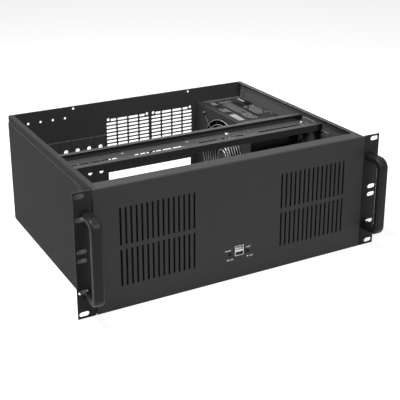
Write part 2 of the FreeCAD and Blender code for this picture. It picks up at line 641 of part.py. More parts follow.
def make_rear_panel():
    """Rear wall: card slots and their ledge, shield opening, fan grilles, supply opening."""
    relief = "(bend + corner_relief)"
    shoulder = "(%s - rebate_depth)" % WALL_INNER
    right = [
        ("%s - %s" % (WALL_INNER, relief), "sheet"),
        (WALL_INNER, "sheet + " + relief),
        (WALL_INNER, KNEE + " - rebate_depth"),
        (shoulder, KNEE),
        (shoulder, "body_height - sheet - " + relief),
        ("%s - %s" % (shoulder, relief), "body_height - sheet"),
        (LIP_HALF, "body_height - sheet"),
        (LIP_HALF, "body_height"),
    ]
    left = [("-(%s)" % across, up) for across, up in reversed(right)]
    wall = folded("rear_plate", "XZ_Plane", right + left, "sheet", REAR_INNER, "y")
    ledge_left = "(" + SLOT_FIRST + " - (slot_count - 1)*slot_pitch - ledge_margin)"
    ledge_width = "((slot_count - 1)*slot_pitch + 2*ledge_margin)"
    ledge = box("rear_ledge", (ledge_left, REAR_INNER, "ledge_top - sheet"),
                (ledge_width, "sheet + ledge_reach", "sheet"))
    flanges = [box("rear_flange_%s" % label, (x, REAR_INNER + " - rear_flange", "sheet + %s + 1" % relief),
                   ("sheet", "rear_flange", "%s - rebate_depth - sheet - %s - 5" % (KNEE, relief)))
               for label, x in (("left", "-" + WALL_INNER), ("right", WALL_INNER + " - sheet"))]
    raw = fuse("rear_folded", [wall, ledge] + flanges)
    slit = box("rear_slit", (ledge_left + " + 1", REAR_INNER + " - 1", "ledge_top"),
               (ledge_width + " - 2", "sheet + 2", "2*cover_sheet"))
    shield = box("rear_shield_opening", (SHIELD_LEFT, REAR_INNER + " - 1", "shield_bottom"),
                 ("shield_width", "sheet + 2", "shield_height"))
    supply = box("rear_supply_opening", (PSU_LEFT + " + supply_margin", REAR_INNER + " - 1", "sheet + 12"),
                 ("psu_width - 2*supply_margin - 3", "sheet + 2", "psu_height - 24"))
    start = rear_inner - 1
    deep = size("sheet") + 2
    fan_right_x = psu_left - size("fan_to_supply")
    cutters = grille_cutters(fan_right_x, start, deep)
    cutters += grille_cutters(fan_right_x - size("fan_pitch"), start, deep)
    for i in range(4):
        x = (post_right - size("upper_hole_from_post")) + (i - 1.5) * size("upper_hole_pitch")
        cutters.append(round_hole(x, size("upper_hole_z"), size("upper_hole"), start, deep))
    for side in (-1, 1):
        cutters.append(round_hole(side * size("lid_hole_x"),
                                  size("body_height") - size("lid_hole_drop"), size("lid_hole"),
                                  start, deep))
    for x, z in psu_screw_points():
        cutters.append(round_hole(x, z, 4.0, start, deep))
    for x in slot_centres():
        cutters.append(Part.makeBox(size("window_width"), deep, size("window_top") - size("window_bottom"),
                                    V(x - size("window_width") / 2, start, size("window_bottom"))))
        cutters.append(Part.makeCylinder(1.6, 3 * size("sheet"),
                                         V(x, rear + size("ledge_reach") / 2,
                                           size("ledge_top") - 2 * size("sheet"))))
    field = solid("rear_cutters", Part.makeCompound(cutters))
    return node(cut("rear_wall", raw, [slit, shield, supply, field]), "rear_panel")


def make_slot_covers():
    """Blanking covers: a long leaf with four holes and a tab out over the ledge."""
    for i, x in enumerate(slot_centres(), start=1):
        name = "slot_cover_%d" % i
        low_x = "%s - %d*slot_pitch - cover_width/2" % (SLOT_FIRST, i - 1)
        foot_z = "(sheet + cover_foot)"
        leaf = box(name + "_leaf", (low_x, COVER_Y, foot_z),
                   ("cover_width", "cover_sheet", "ledge_top + cover_sheet - " + foot_z))
        tab = box(name + "_tab", (low_x, COVER_Y, "ledge_top"),
                  ("cover_width", "cover_sheet + sheet + ledge_reach - 0.5", "cover_sheet"))
        raw = fuse(name + "_folded", [leaf, tab])
        cutters = [round_hole(x, size("cover_hole_low") + k * size("cover_hole_pitch"),
                              size("cover_hole"), rear_inner - 3 * size("cover_sheet"),
                              4 * size("cover_sheet")) for k in range(4)]
        cutters.append(Part.makeCylinder(1.8, 4 * size("cover_sheet"),
                                         V(x, rear + size("ledge_reach") / 2,
                                           size("ledge_top") - size("cover_sheet"))))
        node(cut(name + "_drilled", raw, [solid(name + "_holes", Part.makeCompound(cutters))]), name)
    screws = [pan_screw((x, rear + size("ledge_reach") / 2, size("ledge_top") + size("cover_sheet")),
                        (0, 0, -1), 6.2, 2.4, 3.0, 4.0) for x in slot_centres()]
    node(solid("slot_screw_set", Part.makeCompound(screws)), "slot_screws")


# ---------------------------------------------------------------- power supply

def make_psu_housing():
    """Tray of the supply (open to the left) and the fan cover with its two lips."""
    inner_top = "(%s - psu_sheet)" % PSU_TOP
    outer = box("psu_block", (PSU_INSIDE_LEFT, PSU_FRONT, "sheet + psu_sheet"),
                ("psu_width - psu_sheet", "psu_length", "psu_height - 2*psu_sheet"))
    hollow = box("psu_hollow", (PSU_INSIDE_LEFT + " - 1", PSU_FRONT + " + psu_sheet",
                                "sheet + 2*psu_sheet"),
                 ("psu_width - 2*psu_sheet + 1", "psu_length - 2*psu_sheet",
                  "psu_height - 4*psu_sheet"))
    inlet_hole = box("psu_inlet_hole", (PSU_LEFT + " + psu_width/2 - 10.2", REAR_INNER + " - 2",
                                        "inlet_z - 13.7"), ("20.4", "4", "27.4"))
    switch_hole = box("psu_switch_hole", (PSU_LEFT + " + psu_width/2 - 6.6", REAR_INNER + " - 2",
                                          "switch_z - 9.6"), ("13.2", "4", "19.2"))
    outlet = cylinder("psu_outlet_hole", (PSU_LEFT + " + psu_width/2", PSU_FRONT + " - 1",
                                          "outlet_z"), "Y", "outlet_hole", "4")
    start = rear_inner - size("psu_sheet") - 1
    vents = []
    pitch = 9.0
    for row in range(7):
        for column in range(6):
            x = psu_left + size("psu_width") / 2 + (column - 2.5 + 0.5 * (row % 2 - 0.5)) * pitch
            z = size("switch_z") + 20.0 + row * pitch * math.sqrt(3) / 2
            vents.append(hexagon(7.4, (x, start, z), (0, 1, 0), 3.0))
    for x, z in psu_screw_points():
        vents.append(round_hole(x, z, 3.2, start, 3.0))
    base = cut("psu_tray_box", outer, [hollow, inlet_hole, switch_hole, outlet,
                                       solid("psu_rear_vents", Part.makeCompound(vents))])
    node(base, "psu_tray")
    leaf = box("psu_cover_leaf", (PSU_LEFT, PSU_FRONT, "sheet"),
               ("psu_sheet", "psu_length", "psu_height"))
    lips = [box("psu_cover_lip_%s" % label, (PSU_LEFT, PSU_FRONT, z),
                ("psu_lip", "psu_length", "psu_sheet"))
            for label, z in (("low", "sheet"), ("high", inner_top))]
    raw = fuse("psu_cover_folded", [leaf] + lips)
    opening = cylinder("psu_fan_mouth", (PSU_LEFT + " - 1", PSU_FAN_Y, PSU_FAN_Z), "X",
                       "psu_fan_opening", "4")
    reach = size("psu_fan_holes") / 2
    holes = Part.makeCompound([
        Part.makeCylinder(2.1, 4.0, V(psu_left - 1, fan_y() + a * reach, fan_z() + b * reach),
                          V(1, 0, 0)) for a in (-1, 1) for b in (-1, 1)])
    node(cut("psu_cover_open", raw, [opening, solid("psu_cover_holes", holes)]), "psu_cover")


def fan_y():
    return rear_inner - size("psu_fan_back")


def fan_z():
    return size("sheet") + size("psu_height") / 2


MOTOR_BASE = 4.0
ROTOR_GAP = 1.0


def twisted_blade(root, tip):
    """A blade between two four-cornered ends, each twisted side folded along its diagonal."""
    faces = [Part.Face(Part.makePolygon(end + end[:1])) for end in (root, tip)]
    for i in range(4):
        j = (i + 1) % 4
        if i < 2:
            halves = ((root[i], root[j], tip[j]), (root[i], tip[j], tip[i]))
        else:
            halves = ((root[i], root[j], tip[i]), (root[j], tip[j], tip[i]))
        for corners in halves:
            faces.append(Part.Face(Part.makePolygon(list(corners) + [corners[0]])))
    blade = Part.makeSolid(Part.makeShell(faces))
    if blade.Volume < 0:
        blade.reverse()
    return blade


def make_psu_fan():
    """Square fan frame with a strutted motor seat, and the bladed rotor on its shaft."""
    x = psu_left + size("psu_sheet")
    depth = size("psu_fan_depth")
    half = size("psu_fan_size") / 2
    centre = V(x, fan_y(), fan_z())
    block = Part.makeBox(depth, 2 * half, 2 * half, V(x, fan_y() - half, fan_z() - half))
    block = block.makeFillet(8.0, [edge for edge in block.Edges if runs_along(edge, 0, depth - 1)])
    bore = Part.makeCylinder(size("psu_fan_bore") / 2, depth, centre, V(1, 0, 0))
    frame = block.cut(bore)
    waist = Part.makeBox(depth - 8.0, 3 * half, 3 * half,
                         V(x + 4.0, fan_y() - 1.5 * half, fan_z() - 1.5 * half))
    tube = Part.makeCylinder(size("psu_fan_bore") / 2 + 2.0, depth, centre, V(1, 0, 0))
    frame = frame.cut(waist.cut(tube))
    seat_x = x + depth - MOTOR_BASE
    seat = Part.makeCylinder(size("hub") / 2, MOTOR_BASE, V(seat_x, fan_y(), fan_z()), V(1, 0, 0))
    struts = []
    for i in range(4):
        arm = Part.makeBox(MOTOR_BASE - 1.0, 5.0, size("psu_fan_bore") / 2 + 1.0 - 10.0,
                           V(seat_x + 1.0, fan_y() - 2.5, fan_z() + 10.0))
        arm.rotate(centre, V(1, 0, 0), 45 + 90 * i)
        struts.append(arm)
    sleeve_length = 9.0
    sleeve = Part.makeCylinder(4.0, sleeve_length, V(seat_x - sleeve_length, fan_y(), fan_z()),
                               V(1, 0, 0))
    drill = Part.makeCylinder(size("shaft") / 2 + size("shaft_clearance"),
                              sleeve_length + MOTOR_BASE - 1.0,
                              V(seat_x - sleeve_length - 0.5, fan_y(), fan_z()), V(1, 0, 0))
    holes = [Part.makeCylinder(2.1, depth + 2, V(x - 1, fan_y() + a * size("psu_fan_holes") / 2,
                                                 fan_z() + b * size("psu_fan_holes") / 2), V(1, 0, 0))
             for a in (-1, 1) for b in (-1, 1)]
    frame = frame.fuse([seat, sleeve] + struts).removeSplitter().cut([drill] + holes)
    node(solid("psu_fan_frame_body", frame), "psu_fan_frame")

    hub_x = x + 2.0
    hub_depth = seat_x - ROTOR_GAP - hub_x
    cap = Part.makeCylinder(size("hub") / 2, hub_depth, V(hub_x, fan_y(), fan_z()), V(1, 0, 0))
    rim = [edge for edge in cap.Edges
           if edge.Curve.TypeId == "Part::GeomCircle" and abs(edge.Curve.Center.x - hub_x) < 1e-6]
    cap = cap.makeFillet(2.0, rim)
    room = Part.makeCylinder(size("hub") / 2 - 2.0, hub_depth, V(hub_x + 2.0, fan_y(), fan_z()),
                             V(1, 0, 0))
    axle = Part.makeCylinder(size("shaft") / 2, hub_depth + 2.0, V(hub_x + 1.0, fan_y(), fan_z()),
                             V(1, 0, 0))
    blades = []
    count = 9
    blade_depth = hub_depth - 3.0
    for i in range(count):
        sections = []
        for radius, twist in ((size("hub") / 2 - 1.0, 42.0), (size("rotor_tip") / 2, 62.0)):
            chord = 2 * math.pi * radius / count * 0.82
            chord = min(chord, 34.0)
            lean = math.radians(twist)
            width = min(chord, blade_depth / math.cos(lean)) / 2
            points = []
            for along, off in ((-1, -0.7), (1, -0.7), (1, 0.7), (-1, 0.7)):
                axial = along * width * math.cos(lean) - off * math.sin(lean)
                swing = along * width * math.sin(lean) + off * math.cos(lean)
                points.append(V(hub_x + 2.0 + blade_depth / 2 + axial, fan_y() + swing,
                                fan_z() + radius))
            sections.append(points)
        blade = twisted_blade(*sections)
        blade.rotate(V(0, fan_y(), fan_z()), V(1, 0, 0), 360.0 * i / count)
        blades.append(blade)
    trim = Part.makeCylinder(size("rotor_tip") / 2, depth, centre, V(1, 0, 0))
    core = Part.makeCylinder(size("hub") / 2 - 1.9, depth, centre, V(1, 0, 0))
    rotor = cap.cut(room).fuse([axle] + [blade.common(trim).cut(core) for blade in blades])
    node(solid("psu_rotor_body", rotor.removeSplitter()), "psu_fan_rotor")


def make_psu_guard():
    """Finger guard: concentric rings on four arms, with an eye at each corner."""
    wire = size("guard_wire")
    x = psu_left - wire
    centre = V(x, fan_y(), fan_z())
    rings = []
    for i in range(int(size("guard_rings"))):
        radius = size("guard_outer") - i * size("guard_pitch")
        ring = Part.makeCylinder(radius + wire / 2, wire, centre, V(1, 0, 0))
        rings.append(ring.cut(Part.makeCylinder(radius - wire / 2, wire, centre, V(1, 0, 0))))
    reach = size("psu_fan_holes") / 2 * math.sqrt(2)
    inner = size("guard_outer") - (int(size("guard_rings")) - 1) * size("guard_pitch")
    for i in range(4):
        arm = Part.makeBox(wire, wire, reach - inner, V(x, fan_y() - wire / 2, fan_z() + inner))
        eye = Part.makeCylinder(4.0, wire, V(x, fan_y(), fan_z() + reach), V(1, 0, 0))
        spoke = arm.fuse(eye).cut(Part.makeCylinder(2.1, wire, V(x, fan_y(), fan_z() + reach),
                                                    V(1, 0, 0)))
        spoke.rotate(centre, V(1, 0, 0), 45 + 90 * i)
        rings.append(spoke)
    node(solid("psu_guard_body", rings[0].fuse(rings[1:]).removeSplitter()), "psu_fan_guard")
    screws = [pan_screw((x, fan_y() + a * size("psu_fan_holes") / 2,
                         fan_z() + b * size("psu_fan_holes") / 2), (1, 0, 0), 7.0, 2.2, 3.6, 10.0)
              for a in (-1, 1) for b in (-1, 1)]
    node(solid("psu_guard_screw_set", Part.makeCompound(screws)), "psu_fan_screws")


def make_psu_rear():
    """Mains inlet with three pins, rocker switch in its bezel, and the fixing screws."""
    x = PSU_LEFT + " + psu_width/2"
    plate = box("inlet_flange", (x + " - 12", REAR_INNER, "inlet_z - 15.5"), ("24", "2.5", "31"))
    shell = box("inlet_body", (x + " - 10", REAR_INNER + " - 20", "inlet_z - 13.5"),
                ("20", "21", "27"))
    raw = fuse("inlet_block", [plate, shell])
    cavity = box("inlet_cavity", (x + " - 8", REAR_INNER + " - 14", "inlet_z - 12"),
                 ("16", "18", "24"))
    centre_x = psu_left + size("psu_width") / 2
    pins = [Part.makeBox(2.0, 15.0, 4.0, V(centre_x - 1.0 + across, rear_inner - 19.0,
                                           size("inlet_z") - 2.0 + up))
            for across, up in ((-2.5, -7.0), (2.5, 0.0), (-2.5, 7.0))]
    pin_set = solid("inlet_pin_set", Part.makeCompound(pins))
    node(cut("inlet_open", raw, [cavity, pin_set]), "psu_inlet")
    node(pin_set, "psu_inlet_pins")

    bezel = box("switch_flange", (x + " - 8", REAR_INNER, "switch_z - 11"), ("16", "2", "22"))
    barrel = box("switch_barrel", (x + " - 6.4", REAR_INNER + " - 14", "switch_z - 9.4"),
                 ("12.8", "15", "18.8"))
    pocket = box("switch_pocket", (x + " - 5.2", REAR_INNER + " - 8", "switch_z - 8.2"),
                 ("10.4", "12", "16.4"))
    pivot = cylinder("switch_pivot_hole", (x + " - 6", REAR_INNER + " - 2.5", "switch_z"), "X",
                     "rocker_pin + 2*shaft_clearance", "12")
    node(cut("switch_open", fuse("switch_block", [bezel, barrel]), [pocket, pivot]),
         "psu_switch_body")
    pivot_y = rear_inner - 2.5
    z = size("switch_z")
    radius = 30.0
    half = 7.0
    sag = radius - math.sqrt(radius ** 2 - half ** 2)
    crown = pivot_y + 5.5
    face = Part.Wire([
        Part.Arc(V(centre_x - 4.9, crown, z - half), V(centre_x - 4.9, crown - sag, z),
                 V(centre_x - 4.9, crown, z + half)).toShape(),
        Part.LineSegment(V(centre_x - 4.9, crown, z + half),
                         V(centre_x - 4.9, pivot_y - 1.5, z + half * 0.55)).toShape(),
        Part.LineSegment(V(centre_x - 4.9, pivot_y - 1.5, z + half * 0.55),
                         V(centre_x - 4.9, pivot_y - 1.5, z - half * 0.55)).toShape(),
        Part.LineSegment(V(centre_x - 4.9, pivot_y - 1.5, z - half * 0.55),
                         V(centre_x - 4.9, crown, z - half)).toShape(),
    ])
    rocker = Part.Face(face).extrude(V(9.8, 0, 0))
    pin = Part.makeCylinder(size("rocker_pin") / 2, 11.6, V(centre_x - 5.8, pivot_y, z), V(1, 0, 0))
    rocker = rocker.fuse(pin)
    rocker.rotate(V(centre_x, pivot_y, z), V(1, 0, 0), -size("rocker_tilt"))
    node(solid("switch_rocker_body", rocker), "psu_switch_rocker")

    ring = cylinder("outlet_ring", (x, PSU_FRONT + " - 2", "outlet_z"), "Y",
                    "outlet_hole + 5", "2")
    neck = cylinder("outlet_neck", (x, PSU_FRONT + " - 2", "outlet_z"), "Y",
                    "outlet_hole", "4")
    hole = cylinder("outlet_bore", (x, PSU_FRONT + " - 3", "outlet_z"), "Y",
                    "outlet_hole - 4", "7")
    node(cut("outlet_open", fuse("outlet_block", [ring, neck]), [hole]), "psu_outlet_bushing")
    screws = [pan_screw((px, rear, pz), (0, -1, 0), 7.6, 2.2, 3.2, size("sheet") + size("psu_sheet"))
              for px, pz in psu_screw_points()]
    node(solid("psu_screw_set", Part.makeCompound(screws)), "psu_screws")


def make_psu_inside():
    """Circuit board, transformer, heat sinks and capacitors behind the fan."""
    right = psu_left + size("psu_width") - size("psu_sheet")
    front_y = rear_inner - size("psu_length") + size("psu_sheet")
    low = size("sheet") + 2 * size("psu_sheet")
    board_x = right - 8.0
    width = size("psu_height") - 4 * size("psu_sheet") - 6.0
    length = size("psu_length") - 40.0
    board = Part.makeBox(1.6, length, width, V(board_x, front_y + 6.0, low + 3.0))
    posts = [Part.makeCylinder(3.0, right - board_x - 1.6, V(board_x + 1.6, front_y + 6.0 + a * length,
                                                             low + 3.0 + b * width), V(1, 0, 0))
             for a in (0.05, 0.95) for b in (0.05, 0.95)]
    node(solid("psu_board_body", board.fuse(posts)), "psu_board")
    base_y = front_y + 6.0
    coil = Part.makeBox(30.0, 34.0, 38.0, V(board_x - 30.0, base_y + 0.42 * length, low + 0.44 * width))
    coil = coil.makeFillet(3.0, [edge for edge in coil.Edges if runs_along(edge, 0, 20)])
    node(solid("psu_transformer_body", coil), "psu_transformer")
    sinks = []
    for share in (0.28, 0.82):
        z = low + 3.0 + share * width
        wall = Part.makeBox(36.0, 0.62 * length, 3.0, V(board_x - 36.0, base_y + 0.2 * length, z))
        fins = [Part.makeBox(2.0, 0.62 * length, 9.0, V(board_x - 36.0 + step, base_y + 0.2 * length,
                                                        z - 3.0)) for step in (0.0, 10.0, 20.0)]
        sinks.append(wall.fuse(fins).removeSplitter())
    node(solid("psu_sink_set", Part.makeCompound(sinks)), "psu_heatsinks")
    tanks = [(0.12, 0.55, 15.0, 32.0), (0.90, 0.30, 8.0, 22.0), (0.90, 0.50, 8.0, 22.0),
             (0.90, 0.70, 8.0, 22.0)]
    cans = [Part.makeCylinder(radius, height, V(board_x - height, base_y + along * length,
                                                low + 3.0 + up * width), V(1, 0, 0))
            for along, up, radius, height in tanks]
    node(solid("psu_capacitor_set", Part.makeCompound(cans)), "psu_capacitors")


# ---------------------------------------------------------------- front sockets

def make_front_sockets():
    """Stacked pair of bus sockets, two buttons, two lamps and their circuit board."""
    low_x = "port_x - port_width/2"
    low_z = "port_z - port_height/2"
    block = box("port_block", (low_x, FRONT + " - 0.4", low_z),
                ("port_width", "board_back + 0.4", "port_height"))
    mouth = [box("port_mouth_%s" % label, (low_x + " + 0.8", FRONT + " - 1", z),
                 ("port_width - 1.6", "port_depth - 2", "5.9"))
             for label, z in (("low", low_z + " + 0.7"), ("high", "port_z + port_height/2 - 6.6"))]
    node(cut("port_shell", block, mouth), "usb_shell")
    tongues = [box("port_tongue_%s" % label, ("port_x - 5.6", FRONT + " + 1.5", z),
                   ("11.2", "port_depth - 4.5", "2.0"))
               for label, z in (("low", low_z + " + 4.4"), ("high", "port_z + port_height/2 - 6.4"))]
    node(group("port_tongues", tongues), "usb_tongues")
    board = box("front_board_plate", ("-board_width/2", BOARD_Y, "board_bottom"),
                ("board_width", "board_sheet", "board_height"))
    pegs = solid("front_board_holes", Part.makeCompound(
        [round_hole(side * size("spacer_x"), size("spacer_z"), 3.2, front + size("board_back") - 1, 4.0)
         for side in (-1, 1)]))
    node(cut("front_board", board, [pegs]), "front_board")
    spacers = []
    for side in (-1, 1):
        spacer = hexagon(5.0, (side * size("spacer_x"), front + size("panel_sheet"), size("spacer_z")),
                         (0, 1, 0), size("board_back") - size("panel_sheet"))
        spacers.append(spacer.cut(round_hole(side * size("spacer_x"), size("spacer_z"), 2.5,
                                             front + size("board_back") - 8.0, 9.0)))
    node(solid("front_spacer_set", Part.makeCompound(spacers)), "front_spacers")
    screws = [pan_screw((side * size("spacer_x"), front + size("board_back") + size("board_sheet"),
                         size("spacer_z")), (0, -1, 0), 5.6, 2.0, 2.5, 6.0) for side in (-1, 1)]
    node(solid("front_screw_set", Part.makeCompound(screws)), "front_board_screws")
    switches = []
    for name, x in (("power_button", "button_left_x"), ("reset_button", "button_right_x")):
        behind = FRONT + " + panel_sheet + button_clearance"
        cap = cylinder(name + "_cap", (x, FRONT + " - 0.6", "button_z"), "Y", "button",
                       "panel_sheet + 0.6 + button_clearance")
        collar = cylinder(name + "_collar", (x, behind, "button_z"), "Y", "button + 2.6", "1.2")
        stem = cylinder(name + "_stem", (x, behind, "button_z"), "Y", "3",
                        "board_back - panel_sheet - 3 - button_clearance")
        node(fuse(name + "_turned", [cap, collar, stem]), name)
        seat = box(name + "_switch_block", (x + " - 3", BOARD_Y + " - 5", "button_z - 3"),
                   ("6", "5", "6"))
        well = cylinder(name + "_switch_well", (x, BOARD_Y + " - 6", "button_z"), "Y", "3.4", "5")
        switches.append(cut(name + "_switch", seat, [well]))
    node(group("push_switch_set", switches), "push_switches")
    for name, x in (("power_lamp", size("lamp_left_x")), ("drive_lamp", size("lamp_right_x"))):
        radius = size("lamp") / 2
        seat_y = front + size("panel_sheet")
        dome = Part.makeSphere(radius, V(x, front + 0.5, size("lamp_z")))
        stalk = Part.makeCylinder(radius, seat_y + 2.2 - front - 0.5, V(x, front + 0.5, size("lamp_z")),
                                  V(0, 1, 0))
        rim = Part.makeCylinder(radius + 0.4, 1.0, V(x, seat_y + 1.2, size("lamp_z")), V(0, 1, 0))
        legs = [Part.makeBox(0.5, front + size("board_back") - seat_y - 2.0, 0.5,
                             V(x + step - 0.25, seat_y + 2.0, size("lamp_z") - 0.25))
                for step in (-1.27 / 2, 1.27 / 2)]
        node(solid(name + "_body", dome.fuse([stalk, rim] + legs).removeSplitter()), name)


# ---------------------------------------------------------------- main board posts

# Spacings of the standard main board's fixing holes.
POST_COLUMNS = (0.0, -124.46, -281.94)
POST_ROWS = (0.0, 154.94, 227.33)


def make_posts():
    """Nine threaded posts for the main board, on the floor."""
    posts = []
    for across in POST_COLUMNS:
        for back in POST_ROWS:
            x = post_right + across
            y = rear_inner - size("post_rear") - back
            post = hexagon(size("post_flats"), (x, y, size("sheet")), (0, 0, 1), size("post_height"))
            posts.append(post.cut(Part.makeCylinder(size("post_thread") / 2, 5.0, V(
                x, y, size("sheet") + size("post_height") - 5.0))))
    node(solid("post_set", Part.makeCompound(posts)), "board_posts")


make_chassis()
make_front_panel()
mirrored_pair(make_ear, "ear_left", "ear_right")
mirrored_pair(make_handle, "handle_left", "handle_right")
make_ear_fasteners()
make_crossbar()
mirrored_pair(make_bar_bracket, "bar_bracket_left", "bar_bracket_right")
make_rear_panel()
make_slot_covers()
make_psu_housing()
make_psu_fan()
make_psu_guard()
make_psu_rear()
make_psu_inside()
make_front_sockets()
make_posts()
doc.recompute()

for item in doc.Objects:
    if "Invalid" in item.State or "Error" in item.State:
        raise RuntimeError("%s failed: %s" % (item.Name, item.State))
for piece in nodes:
    if piece.Shape.isNull() or not piece.Shape.isValid():
        raise RuntimeError("%s has no valid shape" % piece.Label)

os.makedirs("parts", exist_ok=True)
for piece in nodes:
    piece.Shape.exportStep("parts/%s.step" % piece.Label)
    print("%-22s %2d solids %10.1f mm3" % (piece.Label, len(piece.Shape.Solids), piece.Shape.Volume))
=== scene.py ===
import math

import bmesh
import bpy
from mathutils import Matrix, Vector


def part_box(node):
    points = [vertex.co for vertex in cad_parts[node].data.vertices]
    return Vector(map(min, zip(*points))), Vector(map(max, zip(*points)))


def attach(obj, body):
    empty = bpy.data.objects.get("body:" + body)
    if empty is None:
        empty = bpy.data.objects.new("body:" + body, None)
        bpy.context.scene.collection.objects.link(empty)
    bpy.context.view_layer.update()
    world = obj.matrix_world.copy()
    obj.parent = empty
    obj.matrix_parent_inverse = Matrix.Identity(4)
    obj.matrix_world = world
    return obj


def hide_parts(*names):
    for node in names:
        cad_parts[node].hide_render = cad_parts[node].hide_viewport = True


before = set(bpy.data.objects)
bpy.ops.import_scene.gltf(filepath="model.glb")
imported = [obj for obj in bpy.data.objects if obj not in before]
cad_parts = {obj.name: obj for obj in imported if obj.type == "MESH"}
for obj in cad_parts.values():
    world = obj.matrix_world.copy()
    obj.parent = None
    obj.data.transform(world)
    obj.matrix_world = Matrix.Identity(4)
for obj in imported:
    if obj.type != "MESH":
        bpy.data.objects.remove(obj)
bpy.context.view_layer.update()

bl_info = {
    "name": "Rackmount Server Case",
    "version": (1, 0, 0),
    "blender": (4, 5, 0),
    "location": "View3D > Sidebar > Server Case",
    "description": "Finishes, fasteners, labels and stage for an open 4U rackmount server case",
    "category": "Add Mesh",
}

MM = 0.001
RIGHT_ANGLE = math.pi / 2


# ------------------------------------------------------------------ settings

class CASE_PG_paint(bpy.types.PropertyGroup):
    """Colours and grain of the powder coat and of the supply's finish."""
    case_colour: bpy.props.FloatVectorProperty(
        name="Case", description="Powder coat of the folded body", subtype="COLOR",
        size=3, min=0, max=1, default=(0.036, 0.036, 0.037))
    front_colour: bpy.props.FloatVectorProperty(
        name="Front", description="Powder coat of the front panel and rack ears", subtype="COLOR",
        size=3, min=0, max=1, default=(0.034, 0.034, 0.035))
    handle_colour: bpy.props.FloatVectorProperty(
        name="Handles", description="Satin paint of the handles", subtype="COLOR",
        size=3, min=0, max=1, default=(0.009, 0.009, 0.0095))
    supply_colour: bpy.props.FloatVectorProperty(
        name="Supply", description="Paint of the power supply's housing", subtype="COLOR",
        size=3, min=0, max=1, default=(0.036, 0.036, 0.037))
    grain_size: bpy.props.FloatProperty(
        name="Grain", description="Width of one bump of the powder coat", unit="LENGTH",
        min=0.0002, max=0.01, default=0.0009)
    grain_depth: bpy.props.FloatProperty(
        name="Grain depth", description="Height of the powder coat's bumps", unit="LENGTH",
        min=0, max=0.001, default=0.00005)


class CASE_PG_fasteners(bpy.types.PropertyGroup):
    """Shape of the screw heads."""
    crown: bpy.props.FloatProperty(
        name="Crown", description="Share of the head's height that is domed",
        min=0.1, max=0.9, default=0.55)
    recess_width: bpy.props.FloatProperty(
        name="Recess width", description="Width of the cross recess as a share of the head",
        min=0.05, max=0.4, default=0.15)
    recess_length: bpy.props.FloatProperty(
        name="Recess length", description="Length of the cross recess as a share of the head",
        min=0.2, max=0.8, default=0.56)
    sides: bpy.props.IntProperty(
        name="Sides", description="Number of facets around a head", min=12, max=48, default=24)


class CASE_PG_guard(bpy.types.PropertyGroup):
    """Sizes of the supply's finger guard."""
    rings: bpy.props.IntProperty(
        name="Rings", description="Number of wire rings", min=2, max=12, default=7)
    outer: bpy.props.FloatProperty(
        name="Outer ring", description="Radius of the outermost ring", unit="LENGTH",
        min=0.02, max=0.1, default=0.065)
    pitch: bpy.props.FloatProperty(
        name="Pitch", description="Distance between neighbouring rings", unit="LENGTH",
        min=0.003, max=0.02, default=0.0085)
    wire: bpy.props.FloatProperty(
        name="Wire", description="Radius of the wire", unit="LENGTH",
        min=0.0003, max=0.002, default=0.0008)


class CASE_PG_stage(bpy.types.PropertyGroup):
    """Floor, lamps and camera."""
    floor_colour: bpy.props.FloatVectorProperty(
        name="Floor", description="Colour of the floor", subtype="COLOR",
        size=3, min=0, max=1, default=(0.5, 0.5, 0.5))
    key_power: bpy.props.FloatProperty(
        name="Overhead lamp", description="Power of the large overhead lamp", unit="POWER",
        min=0, max=500, default=24.0)
    side_power: bpy.props.FloatProperty(
        name="Side lamp", description="Power of the lamp beside the left wall", unit="POWER",
        min=0, max=500, default=1.0)
    front_power: bpy.props.FloatProperty(
        name="Front lamp", description="Power of the lamp before the panel", unit="POWER",
        min=0, max=500, default=17.0)
    fill_power: bpy.props.FloatProperty(
        name="Fill lamp", description="Power of the small lamp that reaches the inner right wall",
        unit="POWER", min=0, max=50, default=0.7)
    sky: bpy.props.FloatProperty(
        name="Room light", description="Strength of the even light from all round",
        min=0, max=2, default=0.12)
    camera_place: bpy.props.FloatVectorProperty(
        name="Camera", description="Place of the camera", subtype="TRANSLATION", unit="LENGTH",
        size=3, default=(-0.584, -1.1258, 0.5917))
    camera_yaw: bpy.props.FloatProperty(
        name="Yaw", description="Turn of the camera to the right of straight ahead",
        subtype="ANGLE", default=math.radians(28.78))
    camera_pitch: bpy.props.FloatProperty(
        name="Pitch", description="Downward tilt of the camera",
        subtype="ANGLE", default=math.radians(19.06))
    camera_lens: bpy.props.FloatProperty(
        name="Lens", description="Focal length", unit="CAMERA", min=10, max=300, default=78.96)


SETTINGS = (
    ("case_paint", CASE_PG_paint),
    ("case_fasteners", CASE_PG_fasteners),
    ("case_guard", CASE_PG_guard),
    ("case_stage", CASE_PG_stage),
)


# ------------------------------------------------------------------ node building

def put(tree, kind, inputs=None, **properties):
    """Add a node; an input may be a value or another node's output socket."""
    node = tree.nodes.new(kind)
    for name, value in properties.items():
        setattr(node, name, value)
    for key, value in (inputs or {}).items():
        if isinstance(value, bpy.types.NodeSocket):
            tree.links.new(value, node.inputs[key])
        else:
            node.inputs[key].default_value = value
    return node


def source(tree, kind, inputs=None, **properties):
    """Add a node and give its first output socket."""
    return put(tree, kind, inputs, **properties).outputs[0]


def maths(tree, operation, first, second=0.0, clamp=False):
    node = put(tree, "ShaderNodeMath", {0: first, 1: second}, operation=operation)
    node.use_clamp = clamp
    return node.outputs[0]


def blend_colours(tree, factor, first, second):
    return put(tree, "ShaderNodeMix", {0: factor, 6: first, 7: second}, data_type="RGBA").outputs[2]


def spread(tree, value, low, high, out_low=0.0, out_high=1.0):
    """Carry value from low..high to out_low..out_high."""
    return source(tree, "ShaderNodeMapRange",
                  {0: value, 1: low, 2: high, 3: out_low, 4: out_high})


